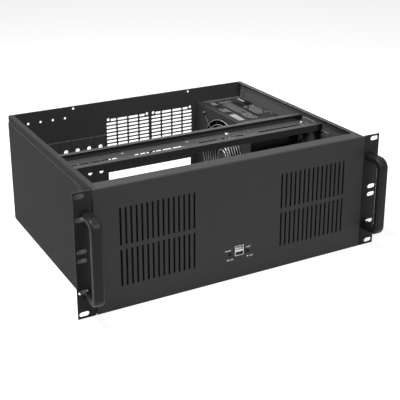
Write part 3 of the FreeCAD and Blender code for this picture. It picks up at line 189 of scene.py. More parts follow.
def noise(tree, place, scale, detail, **inputs):
    return put(tree, "ShaderNodeTexNoise", {
        "Vector": place, "Scale": scale, "Detail": detail, **inputs}).outputs["Fac"]


def object_place(tree, scale=(1, 1, 1)):
    coordinates = put(tree, "ShaderNodeTexCoord")
    return source(tree, "ShaderNodeMapping",
                  {"Vector": coordinates.outputs["Object"], "Scale": scale})


def surface_group(name, colour, settings):
    """A node group from place, colour and settings to colour, roughness and normal."""
    group = bpy.data.node_groups.new(name, "ShaderNodeTree")
    inputs = [("Vector", "NodeSocketVector", None), ("Colour", "NodeSocketColor", colour + (1,))]
    inputs += [(label, "NodeSocketFloat", default) for label, default in settings]
    for label, kind, default in inputs:
        socket = group.interface.new_socket(label, in_out="INPUT", socket_type=kind)
        if default is not None:
            socket.default_value = default
    for label, kind in (("Colour", "NodeSocketColor"), ("Roughness", "NodeSocketFloat"),
                        ("Normal", "NodeSocketVector")):
        group.interface.new_socket(label, in_out="OUTPUT", socket_type=kind)
    return group, group.nodes.new("NodeGroupInput").outputs


def close_group(group, given, gain, rough, bump):
    """Join the scaled colour, the changed roughness and the bumps to the group's output."""
    scaled = source(group, "ShaderNodeVectorMath", {0: given["Colour"], 3: gain}, operation="SCALE")
    rough = maths(group, "ADD", given["Roughness"], rough, clamp=True)
    normal = source(group, "ShaderNodeBump", bump)
    result = group.nodes.new("NodeGroupOutput")
    for label, socket in (("Colour", scaled), ("Roughness", rough), ("Normal", normal)):
        group.links.new(socket, result.inputs[label])
    return group


def powder_coat_group():
    """Orange-peel bumps, slight tone changes, uneven sheen and a painted highlight that lightens
    the colour along eased edges.
    """
    group, given = surface_group("Powder coat", (0.03, 0.03, 0.03), (
        ("Grain size", 0.0009), ("Grain depth", 0.00005), ("Roughness", 0.5),
        ("Tone change", 0.1), ("Edge radius", 0.0006), ("Edge gain", 1.6)))
    place = given["Vector"]
    frequency = maths(group, "DIVIDE", 1.0, given["Grain size"])
    grain = noise(group, place, frequency, 2.0, Roughness=0.6)
    cloud = noise(group, place, 9.0, 3.0)
    fleck = noise(group, place, maths(group, "MULTIPLY", frequency, 0.45), 1.0)
    tone = maths(group, "ADD", spread(group, cloud, 0.3, 0.7, -0.5, 0.5),
                 spread(group, fleck, 0.35, 0.65, -0.35, 0.35))
    gain = maths(group, "ADD", 1.0, maths(group, "MULTIPLY", tone, given["Tone change"]))
    # Painted highlight: where the eased normal turns away from the flat face, the colour along
    # edges and rims is made lighter.
    eased = source(group, "ShaderNodeBevel", {"Radius": given["Edge radius"]}, samples=6)
    flat = put(group, "ShaderNodeNewGeometry")
    turn = put(group, "ShaderNodeVectorMath",
               {0: eased, 1: flat.outputs["True Normal"]}, operation="DOT_PRODUCT")
    edge = maths(group, "MULTIPLY", spread(group, turn.outputs["Value"], 0.99, 0.8),
                 given["Edge gain"])
    gain = maths(group, "MULTIPLY", gain, maths(group, "ADD", 1.0, edge))
    rough = maths(group, "ADD", spread(group, grain, 0.3, 0.7, -0.05, 0.05),
                  spread(group, cloud, 0.3, 0.7, -0.03, 0.03))
    return close_group(group, given, gain, rough, {
        "Height": grain, "Distance": given["Grain depth"], "Strength": 1.0,
        "Normal": eased})


def drawn_metal_group():
    """Fine streaks and faint blotches of plated, drawn or stamped metal."""
    group, given = surface_group("Drawn metal", (0.6, 0.6, 0.6), (
        ("Streaks", 900.0), ("Depth", 0.00001), ("Roughness", 0.3)))
    streak = noise(group, given["Vector"], given["Streaks"], 3.0)
    blotch = noise(group, given["Vector"], 120.0, 2.0)
    gain = maths(group, "ADD", spread(group, streak, 0.3, 0.7, 0.9, 1.06),
                 spread(group, blotch, 0.3, 0.7, -0.05, 0.05))
    return close_group(group, given, gain, spread(group, streak, 0.3, 0.7, -0.07, 0.07),
                       {"Height": streak, "Distance": given["Depth"]})


def moulded_plastic_group():
    """Spark-eroded texture of moulded plastic."""
    group, given = surface_group("Moulded plastic", (0.02, 0.02, 0.02), (
        ("Grain", 2500.0), ("Depth", 0.00002), ("Roughness", 0.5)))
    cells = put(group, "ShaderNodeTexVoronoi", {
        "Vector": given["Vector"], "Scale": given["Grain"]}).outputs["Distance"]
    cloud = noise(group, given["Vector"], 60.0, 2.0)
    return close_group(group, given, spread(group, cloud, 0.3, 0.7, 0.93, 1.07),
                       spread(group, cells, 0.0, 1.0, -0.06, 0.06),
                       {"Height": cells, "Distance": given["Depth"]})


GROUP_MAKERS = {
    "Powder coat": powder_coat_group,
    "Drawn metal": drawn_metal_group,
    "Moulded plastic": moulded_plastic_group,
}


def effect(name):
    """The shared shader node group called name, made once."""
    return bpy.data.node_groups.get(name) or GROUP_MAKERS[name]()


def blank_material(name):
    """A new material with an empty node tree; returns (material, tree)."""
    material = bpy.data.materials.new(name)
    material.use_nodes = True
    material.node_tree.nodes.clear()
    return material, material.node_tree


def finish_material(name, group_name, colour, values, shader=None, place_scale=(1, 1, 1)):
    """A material whose colour, roughness and normal come from one shared effect."""
    found = bpy.data.materials.get(name)
    if found:
        return found
    material, tree = blank_material(name)
    look = put(tree, "ShaderNodeGroup", {
        "Vector": object_place(tree, place_scale), "Colour": tuple(colour) + (1.0,), **values},
        node_tree=effect(group_name)).outputs
    surface = source(tree, "ShaderNodeBsdfPrincipled", {
        "Base Color": look["Colour"], "Roughness": look["Roughness"], "Normal": look["Normal"],
        **(shader or {})})
    put(tree, "ShaderNodeOutputMaterial", {"Surface": surface})
    material.diffuse_color = tuple(colour) + (1.0,)
    return material


def powder(name, colour, roughness=0.5, tone=0.12, grain=1.0, depth=1.0, specular=0.2,
           edge=1.6, ease=0.0006):
    # edge is the strength of the painted highlight along eased edges; ease is their rounding
    # radius.
    paint = bpy.context.scene.case_paint
    return finish_material(name, "Powder coat", colour, {
        "Grain size": paint.grain_size * grain, "Grain depth": paint.grain_depth * depth,
        "Roughness": roughness, "Tone change": tone, "Edge gain": edge, "Edge radius": ease},
        {"Specular IOR Level": specular})


def metal(name, colour, roughness=0.3, streaks=900.0, stretch=(1, 1, 1)):
    return finish_material(name, "Drawn metal", colour,
                           {"Streaks": streaks, "Roughness": roughness}, {"Metallic": 1.0}, stretch)


def plastic(name, colour, roughness=0.5, grain=2500.0, depth=0.00002, shader=None):
    return finish_material(name, "Moulded plastic", colour, {
        "Grain": grain, "Depth": depth, "Roughness": roughness}, shader)


def coat(material, *names):
    """Give CAD nodes their finish."""
    for name in names:
        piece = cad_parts[name]
        piece.data.materials.clear()
        piece.data.materials.append(material)


# ------------------------------------------------------------------ mesh building

def new_object(name, data):
    made = bpy.data.objects.new(name, data)
    bpy.context.scene.collection.objects.link(made)
    return made


def mesh_piece(name, mesh, material, body):
    """Link a finished mesh as a piece that rides on a body."""
    piece = new_object(name, mesh)
    if material:
        mesh.materials.clear()
        mesh.materials.append(material)
    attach(piece, body)
    return piece


def mesh_of(build, name):
    """A mesh made by build(bm)."""
    bm = bmesh.new()
    build(bm)
    bmesh.ops.remove_doubles(bm, verts=bm.verts, dist=1e-7)
    bmesh.ops.recalc_face_normals(bm, faces=bm.faces)
    return mesh_from(bm, name)


def mesh_from(bm, name):
    """Turn a finished bmesh into a mesh and free it."""
    mesh = bpy.data.meshes.new(name)
    bm.to_mesh(mesh)
    bm.free()
    return mesh


def built_piece(name, build, material, body):
    """A piece whose mesh is made by build(bm)."""
    return mesh_piece(name, mesh_of(build, name), material, body)


def add_block(bm, low, high, ease=0.0):
    """A block between two corners (metres), with its edges eased."""
    made = bmesh.ops.create_cube(bm, size=1.0)
    low, high = Vector(low), Vector(high)
    middle, span = (low + high) / 2, high - low
    for vert in made["verts"]:
        vert.co = Vector((vert.co.x * span.x, vert.co.y * span.y, vert.co.z * span.z)) + middle
    if ease:
        edges = {edge for vert in made["verts"] for edge in vert.link_edges}
        bmesh.ops.bevel(bm, geom=list(edges), offset=ease, segments=1, profile=0.5, affect="EDGES")


def add_rod(bm, start, end, radius, sides):
    """A closed round rod between two points (metres)."""
    start, end = Vector(start), Vector(end)
    span = end - start
    turn = Vector((0, 0, 1)).rotation_difference(span.normalized()).to_matrix().to_4x4()
    matrix = Matrix.Translation((start + end) / 2) @ turn
    bmesh.ops.create_cone(bm, cap_ends=True, segments=sides, radius1=radius, radius2=radius,
                          depth=span.length, matrix=matrix)


def screw_head_mesh(settings):
    """A pan head one unit across and one unit high, seated at z = 0, with a cross recess."""
    sides = settings.sides
    crown = settings.crown
    widest_recess, recess_taper, recess_floor = 0.26, 0.8, 0.45
    bm = bmesh.new()
    rings = [(0.5, 0.0), (0.5, 1.0 - crown)]
    for step in (0.3, 0.6, 0.85):
        angle = step * RIGHT_ANGLE
        rings.append((0.30 + 0.2 * math.cos(angle), 1.0 - crown + crown * 0.92 * math.sin(angle)))
    rings.append((0.28, 0.97))
    loops = []
    for radius, height in rings:
        loops.append([bm.verts.new((radius * math.cos(2 * math.pi * i / sides),
                                    radius * math.sin(2 * math.pi * i / sides), height))
                      for i in range(sides)])
    for lower, upper in zip(loops, loops[1:]):
        for i in range(sides):
            bm.faces.new((lower[i], lower[(i + 1) % sides], upper[(i + 1) % sides], upper[i]))
    bm.faces.new(list(reversed(loops[0])))
    half = settings.recess_width / 2
    reach = min(settings.recess_length / 2, widest_recess)
    cross = [(half, half), (half, reach), (-half, reach), (-half, half),
             (-reach, half), (-reach, -half), (-half, -half), (-half, -reach),
             (half, -reach), (half, -half), (reach, -half), (reach, half)]
    rim = [bm.verts.new((x, y, 1.0)) for x, y in cross]
    floor = [bm.verts.new((x * recess_taper, y * recess_taper, recess_floor)) for x, y in cross]
    count = len(cross)
    for i in range(count):
        bm.faces.new((rim[i], rim[(i + 1) % count], floor[(i + 1) % count], floor[i]))
    bm.faces.new(floor)
    top = loops[-1]
    edges = [bm.edges.get((top[i], top[(i + 1) % sides])) for i in range(sides)]
    edges += [bm.edges.get((rim[i], rim[(i + 1) % count])) for i in range(count)]
    bmesh.ops.triangle_fill(bm, edges=edges, use_beauty=True, use_dissolve=False)
    bmesh.ops.recalc_face_normals(bm, faces=bm.faces)
    return mesh_from(bm, "screw_head")


def points_mesh(name, places, axes):
    """A mesh of loose points that carries the direction of each point's screw."""
    mesh = bpy.data.meshes.new(name)
    mesh.from_pydata([tuple(place) for place in places], [], [])
    attribute = mesh.attributes.new("axis", "FLOAT_VECTOR", "POINT")
    for i, axis in enumerate(axes):
        attribute.data[i].vector = axis
    return mesh


def geometry_tree(name, inputs):
    tree = bpy.data.node_groups.new(name, "GeometryNodeTree")
    tree.interface.new_socket("Geometry", in_out="INPUT", socket_type="NodeSocketGeometry")
    for label, kind, default in inputs:
        socket = tree.interface.new_socket(label, in_out="INPUT", socket_type=kind)
        if default is not None:
            socket.default_value = default
    tree.interface.new_socket("Geometry", in_out="OUTPUT", socket_type="NodeSocketGeometry")
    return tree, tree.nodes.new("NodeGroupInput").outputs, tree.nodes.new("NodeGroupOutput")


def screw_tree():
    """Heads of one size on every point, each turned to its own axis."""
    found = bpy.data.node_groups.get("Screw heads")
    if found:
        return found
    tree, given, result = geometry_tree("Screw heads", [
        ("Head", "NodeSocketObject", None), ("Diameter", "NodeSocketFloat", 0.006),
        ("Height", "NodeSocketFloat", 0.002), ("Finish", "NodeSocketMaterial", None)])
    template = put(tree, "GeometryNodeObjectInfo", {"Object": given["Head"]})
    axis = source(tree, "GeometryNodeInputNamedAttribute", {"Name": "axis"},
                  data_type="FLOAT_VECTOR")
    turned = source(tree, "FunctionNodeAlignRotationToVector", {"Vector": axis}, axis="Z")
    index = source(tree, "GeometryNodeInputIndex")
    spin = put(tree, "FunctionNodeRandomValue", {2: 0.0, 3: 1.57, "ID": index, "Seed": 7})
    twist = source(tree, "FunctionNodeAxisAngleToRotation",
                   {"Axis": (0, 0, 1), "Angle": spin.outputs[1]})
    both = source(tree, "FunctionNodeRotateRotation",
                  {"Rotation": turned, "Rotate By": twist}, rotation_space="LOCAL")
    size = source(tree, "ShaderNodeCombineXYZ", {
        0: given["Diameter"], 1: given["Diameter"], 2: given["Height"]})
    placed = source(tree, "GeometryNodeInstanceOnPoints", {
        "Points": given["Geometry"], "Instance": template.outputs["Geometry"],
        "Rotation": both, "Scale": size})
    real = source(tree, "GeometryNodeRealizeInstances", {0: placed})
    painted = source(tree, "GeometryNodeSetMaterial", {0: real, "Material": given["Finish"]})
    tree.links.new(painted, result.inputs[0])
    return tree


def guard_tree():
    """Concentric wire rings about X with four straight arms and an eye on each arm's end."""
    tree, given, result = geometry_tree("Finger guard", [
        ("Rings", "NodeSocketInt", 7), ("Outer", "NodeSocketFloat", 0.065),
        ("Pitch", "NodeSocketFloat", 0.0085), ("Wire", "NodeSocketFloat", 0.0008),
        ("Arm", "NodeSocketFloat", 0.088), ("Eye", "NodeSocketFloat", 0.0035),
        ("Finish", "NodeSocketMaterial", None), ("Arm finish", "NodeSocketMaterial", None)])

    def circle(points, radius):
        return source(tree, "GeometryNodeCurvePrimitiveCircle",
                      {"Resolution": points, "Radius": radius}, mode="RADIUS")

    wire = circle(10, given["Wire"])

    def tube(curve):
        return source(tree, "GeometryNodeCurveToMesh", {0: curve, 1: wire})

    def along_x(distance):
        return source(tree, "ShaderNodeCombineXYZ", {0: distance})

    centres = source(tree, "GeometryNodeMeshLine", {"Count": given["Rings"], "Offset": (0, 0, 0)},
                     mode="OFFSET")
    index = source(tree, "GeometryNodeInputIndex")
    drop = maths(tree, "MULTIPLY", index, given["Pitch"])
    radius = maths(tree, "SUBTRACT", given["Outer"], drop)
    unit = circle(96, 1.0)
    size = source(tree, "ShaderNodeCombineXYZ", {0: radius, 1: radius, 2: 1.0})
    rings = source(tree, "GeometryNodeInstanceOnPoints", {
        "Points": centres, "Instance": unit, "Scale": size})
    flat_rings = source(tree, "GeometryNodeRealizeInstances", {0: rings})
    last = maths(tree, "SUBTRACT", given["Rings"], 1.0)
    inner = maths(tree, "SUBTRACT", given["Outer"], maths(tree, "MULTIPLY", last, given["Pitch"]))
    reach = maths(tree, "SUBTRACT", given["Arm"], given["Eye"])
    arm = source(tree, "GeometryNodeCurvePrimitiveLine", {
        "Start": along_x(inner), "End": along_x(reach)})
    eye_place = source(tree, "GeometryNodeTransform", {
        "Geometry": circle(24, given["Eye"]), "Translation": along_x(given["Arm"])})
    one_arm = put(tree, "GeometryNodeJoinGeometry")
    tree.links.new(tube(arm), one_arm.inputs[0])
    tree.links.new(tube(eye_place), one_arm.inputs[0])
    four = source(tree, "GeometryNodeMeshLine", {"Count": 4, "Offset": (0, 0, 0)}, mode="OFFSET")
    quarter = maths(tree, "ADD", maths(tree, "MULTIPLY", index, RIGHT_ANGLE), RIGHT_ANGLE / 2)
    turn = source(tree, "FunctionNodeAxisAngleToRotation", {"Axis": (0, 0, 1), "Angle": quarter})
    marked = source(tree, "GeometryNodeStoreNamedAttribute", {
        "Geometry": one_arm.outputs[0], "Name": "is_arm", "Value": True},
        data_type="BOOLEAN", domain="FACE")
    arms = source(tree, "GeometryNodeInstanceOnPoints", {
        "Points": four, "Instance": marked, "Rotation": turn})
    everything = put(tree, "GeometryNodeJoinGeometry")
    tree.links.new(tube(flat_rings), everything.inputs[0])
    tree.links.new(arms, everything.inputs[0])
    real = source(tree, "GeometryNodeRealizeInstances", {0: everything.outputs[0]})
    smooth = source(tree, "GeometryNodeSetShadeSmooth", {0: real})
    painted = source(tree, "GeometryNodeSetMaterial", {0: smooth, "Material": given["Finish"]})
    is_arm = source(tree, "GeometryNodeInputNamedAttribute", {"Name": "is_arm"},
                    data_type="BOOLEAN")
    # The arms and eyes take the darker finish, as painted shade over the guard's upper part.
    arms_painted = source(tree, "GeometryNodeSetMaterial", {
        0: painted, "Selection": is_arm, "Material": given["Arm finish"]})
    tree.links.new(arms_painted, result.inputs[0])
    return tree


def grown_mesh(name, base_mesh, tree, values, matrix=None):
    """Run a node tree on a mesh and keep what it makes as a plain mesh."""
    carrier = new_object(name + "_carrier", base_mesh)
    modifier = carrier.modifiers.new("Nodes", "NODES")
    modifier.node_group = tree
    for item in tree.interface.items_tree:
        if item.item_type == "SOCKET" and item.in_out == "INPUT" and item.name in values:
            modifier[item.identifier] = values[item.name]
    bpy.context.view_layer.update()
    graph = bpy.context.evaluated_depsgraph_get()
    mesh = bpy.data.meshes.new_from_object(carrier.evaluated_get(graph))
    mesh.name = name
    carrier.modifiers.remove(modifier)
    bpy.data.objects.remove(carrier)
    for attribute in [item.name for item in mesh.attributes
                      if item.name not in ("position", "material_index", "sharp_face", "sharp_edge")
                      and not item.name.startswith(".") and not item.is_required]:
        mesh.attributes.remove(mesh.attributes[attribute])
    if matrix:
        mesh.transform(matrix)
    return mesh


def loose_parts(node):
    """(lowest, highest) corners of each separate solid in a CAD node's mesh."""
    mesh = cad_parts[node].data
    bm = bmesh.new()
    bm.from_mesh(mesh)
    bmesh.ops.remove_doubles(bm, verts=bm.verts, dist=1e-6)
    seen, boxes = set(), []
    for start in bm.verts:
        if start in seen:
            continue
        stack, points = [start], []
        seen.add(start)
        while stack:
            vert = stack.pop()
            points.append(vert.co.copy())
            for edge in vert.link_edges:
                other = edge.other_vert(vert)
                if other not in seen:
                    seen.add(other)
                    stack.append(other)
        boxes.append((Vector([min(point[k] for point in points) for k in range(3)]),
                      Vector([max(point[k] for point in points) for k in range(3)])))
    bm.free()
    return boxes


# ------------------------------------------------------------------ finishes

def zinc():
    return metal("Zinc plate", (0.56, 0.57, 0.6), 0.3, 1400.0)


def black_oxide():
    return metal("Black oxide", (0.05, 0.05, 0.055), 0.35, 1400.0)


def brass():
    return metal("Brass", (0.72, 0.5, 0.2), 0.28)


def gold():
    return metal("Contact gold", (0.83, 0.62, 0.25), 0.25)


def shade(colour, share):
    return [value * share for value in colour]


class CASE_OT_paint_body(bpy.types.Operator):
    """Powder coat the folded body, rear wall, covers, crossbar and brackets"""
    bl_idname = "server_case.paint_body"
    bl_label = "Paint body"

    def execute(self, context):
        paint = context.scene.case_paint
        # The body's rims get a strong painted highlight along their edges.
        body = powder("Body powder coat", paint.case_colour, 0.65, specular=0.04, edge=4.0,
                      ease=0.0011)
        # The rear wall takes the body colour painted a tenth darker, as painted shade.
        rear = powder("Rear powder coat", shade(paint.case_colour, 0.9), 0.6, specular=0.1)
        # The crossbar's lips get the strongest painted highlight along their edges.
        inner = powder("Bar powder coat", paint.case_colour, 0.5, tone=0.1, edge=6.0, ease=0.0011)
        coat(body, "chassis")
        coat(rear, "rear_panel")
        coat(inner, "crossbar", "bar_bracket_left", "bar_bracket_right")
        # The slot covers take the body colour painted slightly darker, as painted shade.
        cover = powder("Slot cover coat", shade(paint.case_colour, 0.95), 0.55, tone=0.08)
        coat(cover, *["slot_cover_%d" % i for i in range(1, 8)])
        coat(brass(), "board_posts")
        return {"FINISHED"}


class CASE_OT_paint_front(bpy.types.Operator):
    """Powder coat the front panel, rack ears and handles"""
    bl_idname = "server_case.paint_front"
    bl_label = "Paint front"

    def execute(self, context):
        paint = context.scene.case_paint
        front = powder("Front powder coat", paint.front_colour, 0.6, tone=0.1, grain=0.8)
        coat(front, "front_panel")
        # The ears take the front colour painted darker, as painted shade for the handles' shadow on
        # them.
        ears = powder("Ear powder coat", shade(paint.front_colour, 0.55), 0.55, tone=0.1,
                      grain=0.8, specular=0.12)
        coat(ears, "ear_left", "ear_right")
        handles = powder("Handle paint", paint.handle_colour, 0.38, tone=0.08, grain=0.7,
                         depth=0.6, specular=0.16, edge=0.0)
        coat(handles, "handle_left", "handle_right")
        return {"FINISHED"}


class CASE_OT_finish_supply(bpy.types.Operator):
    """Finish the power supply: housing, fan, sockets and what shows through the fan"""
    bl_idname = "server_case.finish_supply"
    bl_label = "Finish supply"

    def execute(self, context):
        paint = context.scene.case_paint
        housing = powder("Supply paint", paint.supply_colour, 0.5, tone=0.1, grain=0.7, depth=0.7)
        coat(housing, "psu_tray")
        # The side cover takes a third of the supply's colour, as painted shade.
        side = powder("Supply cover paint", shade(paint.supply_colour, 0.33), 0.5, tone=0.1,
                      grain=0.7, depth=0.7, specular=0.1)
        coat(side, "psu_cover")
        coat(plastic("Fan plastic", (0.006, 0.006, 0.006), 0.5), "psu_fan_frame", "psu_fan_rotor")
        coat(plastic("Socket plastic", (0.014, 0.014, 0.014), 0.5), "psu_inlet", "psu_switch_body",
             "psu_outlet_bushing")
        coat(plastic("Rocker plastic", (0.02, 0.02, 0.02), 0.25, 1500.0, 0.000008),
             "psu_switch_rocker")
        coat(metal("Pin nickel", (0.72, 0.7, 0.66), 0.22), "psu_inlet_pins")
        coat(board_lacquer(), "psu_board")
        coat(plastic("Transformer tape", (0.62, 0.42, 0.06), 0.35, 900.0), "psu_transformer")
        coat(metal("Black anodised", (0.03, 0.03, 0.032), 0.4, 700.0, (1, 0.05, 1)),
             "psu_heatsinks")
        coat(plastic("Capacitor sleeve", (0.015, 0.02, 0.06), 0.28, 1200.0, 0.00001,
                     {"Coat Weight": 0.4}), "psu_capacitors")
        return {"FINISHED"}


def board_lacquer():
    """Green solder lacquer with buried copper tracks."""
    found = bpy.data.materials.get("Board lacquer")
    if found:
        return found
    material, tree = blank_material("Board lacquer")
    tracks = put(tree, "ShaderNodeTexBrick", {
        "Vector": object_place(tree, (700, 700, 700)), "Scale": 1.0, "Mortar Size": 0.09,
        "Color1": (0, 0, 0, 1), "Color2": (0, 0, 0, 1), "Mortar": (1, 1, 1, 1)}).outputs["Color"]
    colour = blend_colours(tree, tracks, (0.008, 0.06, 0.022, 1), (0.02, 0.14, 0.05, 1))
    bump = source(tree, "ShaderNodeBump", {"Height": tracks, "Distance": 0.00003})
    surface = source(tree, "ShaderNodeBsdfPrincipled", {
        "Base Color": colour, "Normal": bump, "Roughness": 0.3, "Coat Weight": 0.3})
    put(tree, "ShaderNodeOutputMaterial", {"Surface": surface})
    material.diffuse_color = (0.01, 0.08, 0.03, 1)
    return material


class CASE_OT_finish_sockets(bpy.types.Operator):
    """Finish the front sockets, buttons, lamps and their circuit board"""
    bl_idname = "server_case.finish_sockets"
    bl_label = "Finish sockets"

    def execute(self, context):
        coat(metal("Socket nickel", (0.5, 0.5, 0.51), 0.3), "usb_shell")
        coat(plastic("Tongue plastic", (0.75, 0.75, 0.73), 0.45), "usb_tongues")
        coat(board_lacquer(), "front_board")
        coat(brass(), "front_spacers")
        button = plastic("Button plastic", (0.003, 0.003, 0.003), 0.5, 2000.0, 0.00001,
                         {"Specular IOR Level": 0.15})
        coat(button, "power_button", "reset_button")
        coat(plastic("Switch plastic", (0.02, 0.02, 0.021), 0.5), "push_switches")
        for name, label, colour in (("power_lamp", "Power lamp lens", (0.7, 0.76, 0.7)),
                                    ("drive_lamp", "Drive lamp lens", (0.78, 0.7, 0.68))):
            coat(plastic(label, colour, 0.2, 800.0, 0.00001, {"Coat Weight": 0.8}), name)
        return {"FINISHED"}


# ------------------------------------------------------------------ fasteners

HEAD_HEIGHT = 0.32  # as a share of the head's width
SHANK_RADIUS = {"handle_screws": 2.0, "psu_fan_screws": 1.7}
USUAL_SHANK_RADIUS = 1.5

SCREW_SETS = (
    # node, outward axis for a screw at x, y, z, finish, slot
    ("handle_screws", lambda x, y, z: (0, 1, 0), zinc, "zinc"),
    ("ear_screws", lambda x, y, z: (math.copysign(1, x), 0, 0), black_oxide, "black_screw"),
    ("crossbar_screws", lambda x, y, z: (0, 0, 1), zinc, "zinc"),
    ("slot_screws", lambda x, y, z: (0, 0, 1), zinc, "zinc"),
    ("psu_screws", lambda x, y, z: (0, 1, 0), zinc, "zinc"),
    ("psu_fan_screws", lambda x, y, z: (-1, 0, 0), black_oxide, "zinc"),
    ("front_board_screws", lambda x, y, z: (0, 1, 0), zinc, "zinc"),
)


class CASE_OT_fit_screws(bpy.types.Operator):
    """Replace the plain screws with pan heads that have a cross recess"""
    bl_idname = "server_case.fit_screws"
    bl_label = "Fit screws"

    def execute(self, context):
        head = new_object("screw_template", screw_head_mesh(context.scene.case_fasteners))
        for node, direction, finish, slot in SCREW_SETS:
            places, axes, heights, widths, shanks = [], [], [], [], []
            for low, high in loose_parts(node):
                middle = (low + high) / 2
                axis = Vector(direction(*middle))
                across = [k for k in range(3) if abs(axis[k]) < 0.5]
                along = [k for k in range(3) if abs(axis[k]) >= 0.5][0]
                width = high[across[0]] - low[across[0]]
                height = width * HEAD_HEIGHT
                top = high[along] if axis[along] > 0 else low[along]
                seat = middle.copy()
                seat[along] = top - axis[along] * height
                tail = middle.copy()
                tail[along] = low[along] if axis[along] > 0 else high[along]
                places.append(seat)
                axes.append(axis)
                widths.append(width)
                heights.append(height)
                shanks.append((seat, tail))
            mesh = grown_mesh(node + "_heads", points_mesh(node + "_seats", places, axes),
                              screw_tree(), {"Head": head, "Diameter": widths[0],
                                             "Height": heights[0], "Finish": finish()})
            radius = SHANK_RADIUS.get(node, USUAL_SHANK_RADIUS) * MM

            def shank_rods(bm):
                for seat, tail in shanks:
                    add_rod(bm, seat, tail, radius, 12)

            shank_mesh = mesh_of(shank_rods, node + "_shanks")
            joined = bmesh.new()
            joined.from_mesh(mesh)
            joined.from_mesh(shank_mesh)
            joined.to_mesh(mesh)
            joined.free()
            piece = mesh_piece(node + "_detailed", mesh, finish(), "case")
            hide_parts(node)
        bpy.data.objects.remove(head)
        return {"FINISHED"}


class CASE_OT_fit_guard(bpy.types.Operator):
    """Replace the supply's finger guard with round wire"""
    bl_idname = "server_case.fit_guard"
    bl_label = "Fit finger guard"

    def execute(self, context):
        guard = context.scene.case_guard
        low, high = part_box("psu_fan_guard")
        low, high = Vector(low), Vector(high)
        middle = (low + high) / 2
        matrix = Matrix.Translation(middle) @ Matrix.Rotation(RIGHT_ANGLE, 4, "Y")
        empty = bpy.data.meshes.new("guard_seed")
        corner, eye_reach, slack = 4 * MM, 4 * MM, 0.2 * MM
        arm = (high.y - low.y) / 2 * math.sqrt(2) - corner * (math.sqrt(2) - 1) - slack
        finish = metal("Guard wire", (0.3, 0.3, 0.31), 0.5)
        mesh = grown_mesh("finger_guard", empty, guard_tree(), {
            "Rings": guard.rings, "Outer": guard.outer, "Pitch": guard.pitch, "Wire": guard.wire,
            "Arm": arm - eye_reach, "Eye": 3.0 * MM, "Finish": finish,
            # The arms and eyes get a darker metal than the rings, as painted shade.
            "Arm finish": metal("Guard arm", (0.05, 0.05, 0.052), 0.5)}, matrix)
        piece = mesh_piece("finger_guard_wire", mesh, None, "case")
        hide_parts("psu_fan_guard")
        return {"FINISHED"}


# ------------------------------------------------------------------ labels and legends

def flat_panel(bm, corner, across, up, width, height, lift):
    """A thin plate: corner plus width along across and height along up, raised by lift."""
    corner, across, up, lift = Vector(corner), Vector(across), Vector(up), Vector(lift)
    base = [corner, corner + across * width, corner + across * width + up * height,
            corner + up * height]
    low = [bm.verts.new(point) for point in base]
    top = [bm.verts.new(point + lift) for point in base]
    bm.faces.new(low)
    bm.faces.new(top)
    for i in range(4):
        bm.faces.new((low[i], low[(i + 1) % 4], top[(i + 1) % 4], top[i]))


def paper(name, colour):
    return plastic(name, colour, 0.55, 1200.0, 0.000005, {"Specular IOR Level": 0.1})


LABEL_CORNER = (8.7, 46)  # from the housing's left front corner, in millimetres
LABEL_WIDTH = 73
LABEL_LENGTH = 122
LABEL_GREYS = {
    "ground": ("Label ground", 0.014),
    "black": ("Label black", 0.0015),
    "pale": ("Label pale field", 0.075),
    "print": ("Label grey print", 0.15),
    "white": ("Label light print", 0.16),
}


class CASE_OT_stick_labels(bpy.types.Operator):
    """Stick blank labels on the supply's upper face"""
    bl_idname = "server_case.stick_labels"
    bl_label = "Stick labels"

    def execute(self, context):
        low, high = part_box("psu_tray")
        corner = Vector((low[0] + LABEL_CORNER[0] * MM, low[1] + LABEL_CORNER[1] * MM, high[2]))
        layers = {}

        def field(tone, across, along, width, length, level=1):
            layers.setdefault(tone, []).append((across, along, width, length, level))

        field("ground", 0, 0, LABEL_WIDTH, LABEL_LENGTH, 0)
        for across, width in ((0, 2.6), (18, 2.2), (70, 3.0)):
            field("black", across, 0, width, LABEL_LENGTH, 2)
        field("black", 0, LABEL_LENGTH - 2, LABEL_WIDTH, 2)
        field("pale", 7, 104, 9, 14)
        field("pale", 22, 108, 24, 6)
        field("black", 4, 84, 10, 14, 2)
        field("black", 4, 47, 8, 10, 2)
        for row, (start, length) in enumerate(((62, 20), (60, 15), (58, 20))):
            field("print", 4 + row * 4.4, start, 1.6, length)
        for row, (start, length) in enumerate(((48, 52), (44, 60), (52, 54), (40, 62))):
            field("pale", 23 + row * 4.4, start, 2.0, length)
        for column in range(4):
            for row in range(6):
                if (column * 5 + row * 3) % 7:
                    field("print", 23 + column * 4.2, 10 + row * 5.2, 2.2, 3.2)
        for column in range(5):
            for row in range(8):
                if (column * 3 + row * 5) % 8 != 1:
                    field("print", 48 + column * 4.1, 26 + row * 6.2, 1.8, 4.0)
        field("black", 44, 72, 9, 30, 2)
        field("black", 56, 77, 13, 20, 2)
        field("black", 42, 10, 4, 50, 2)
        field("white", 63, 99, 5, 21)
        field("white", 69, 12, 0.8, 62, 3)
        for tone, fields in layers.items():
            def plates(bm):
                for across, along, width, length, level in fields:
                    start = corner + Vector((across, along, 0.02 + 0.05 * level)) * MM
                    flat_panel(bm, start, (1, 0, 0), (0, 1, 0), width * MM, length * MM,
                               (0, 0, 0.04 * MM))

            name, grey = LABEL_GREYS[tone]
            built_piece("supply_label_" + tone, plates, paper(name, (grey,) * 3), "case")

        def sticker(bm):
            turn = math.radians(-3)
            across = (math.cos(turn), math.sin(turn), 0)
            along = (-math.sin(turn), math.cos(turn), 0)
            flat_panel(bm, corner + Vector((-1.0, 8, 0.2)) * MM, across, along, 12.5 * MM,
                       35 * MM, (0, 0, 0.1 * MM))

        built_piece("supply_sticker", sticker, paper("Sticker white", (0.17, 0.17, 0.165)),
                    "case")
        return {"FINISHED"}


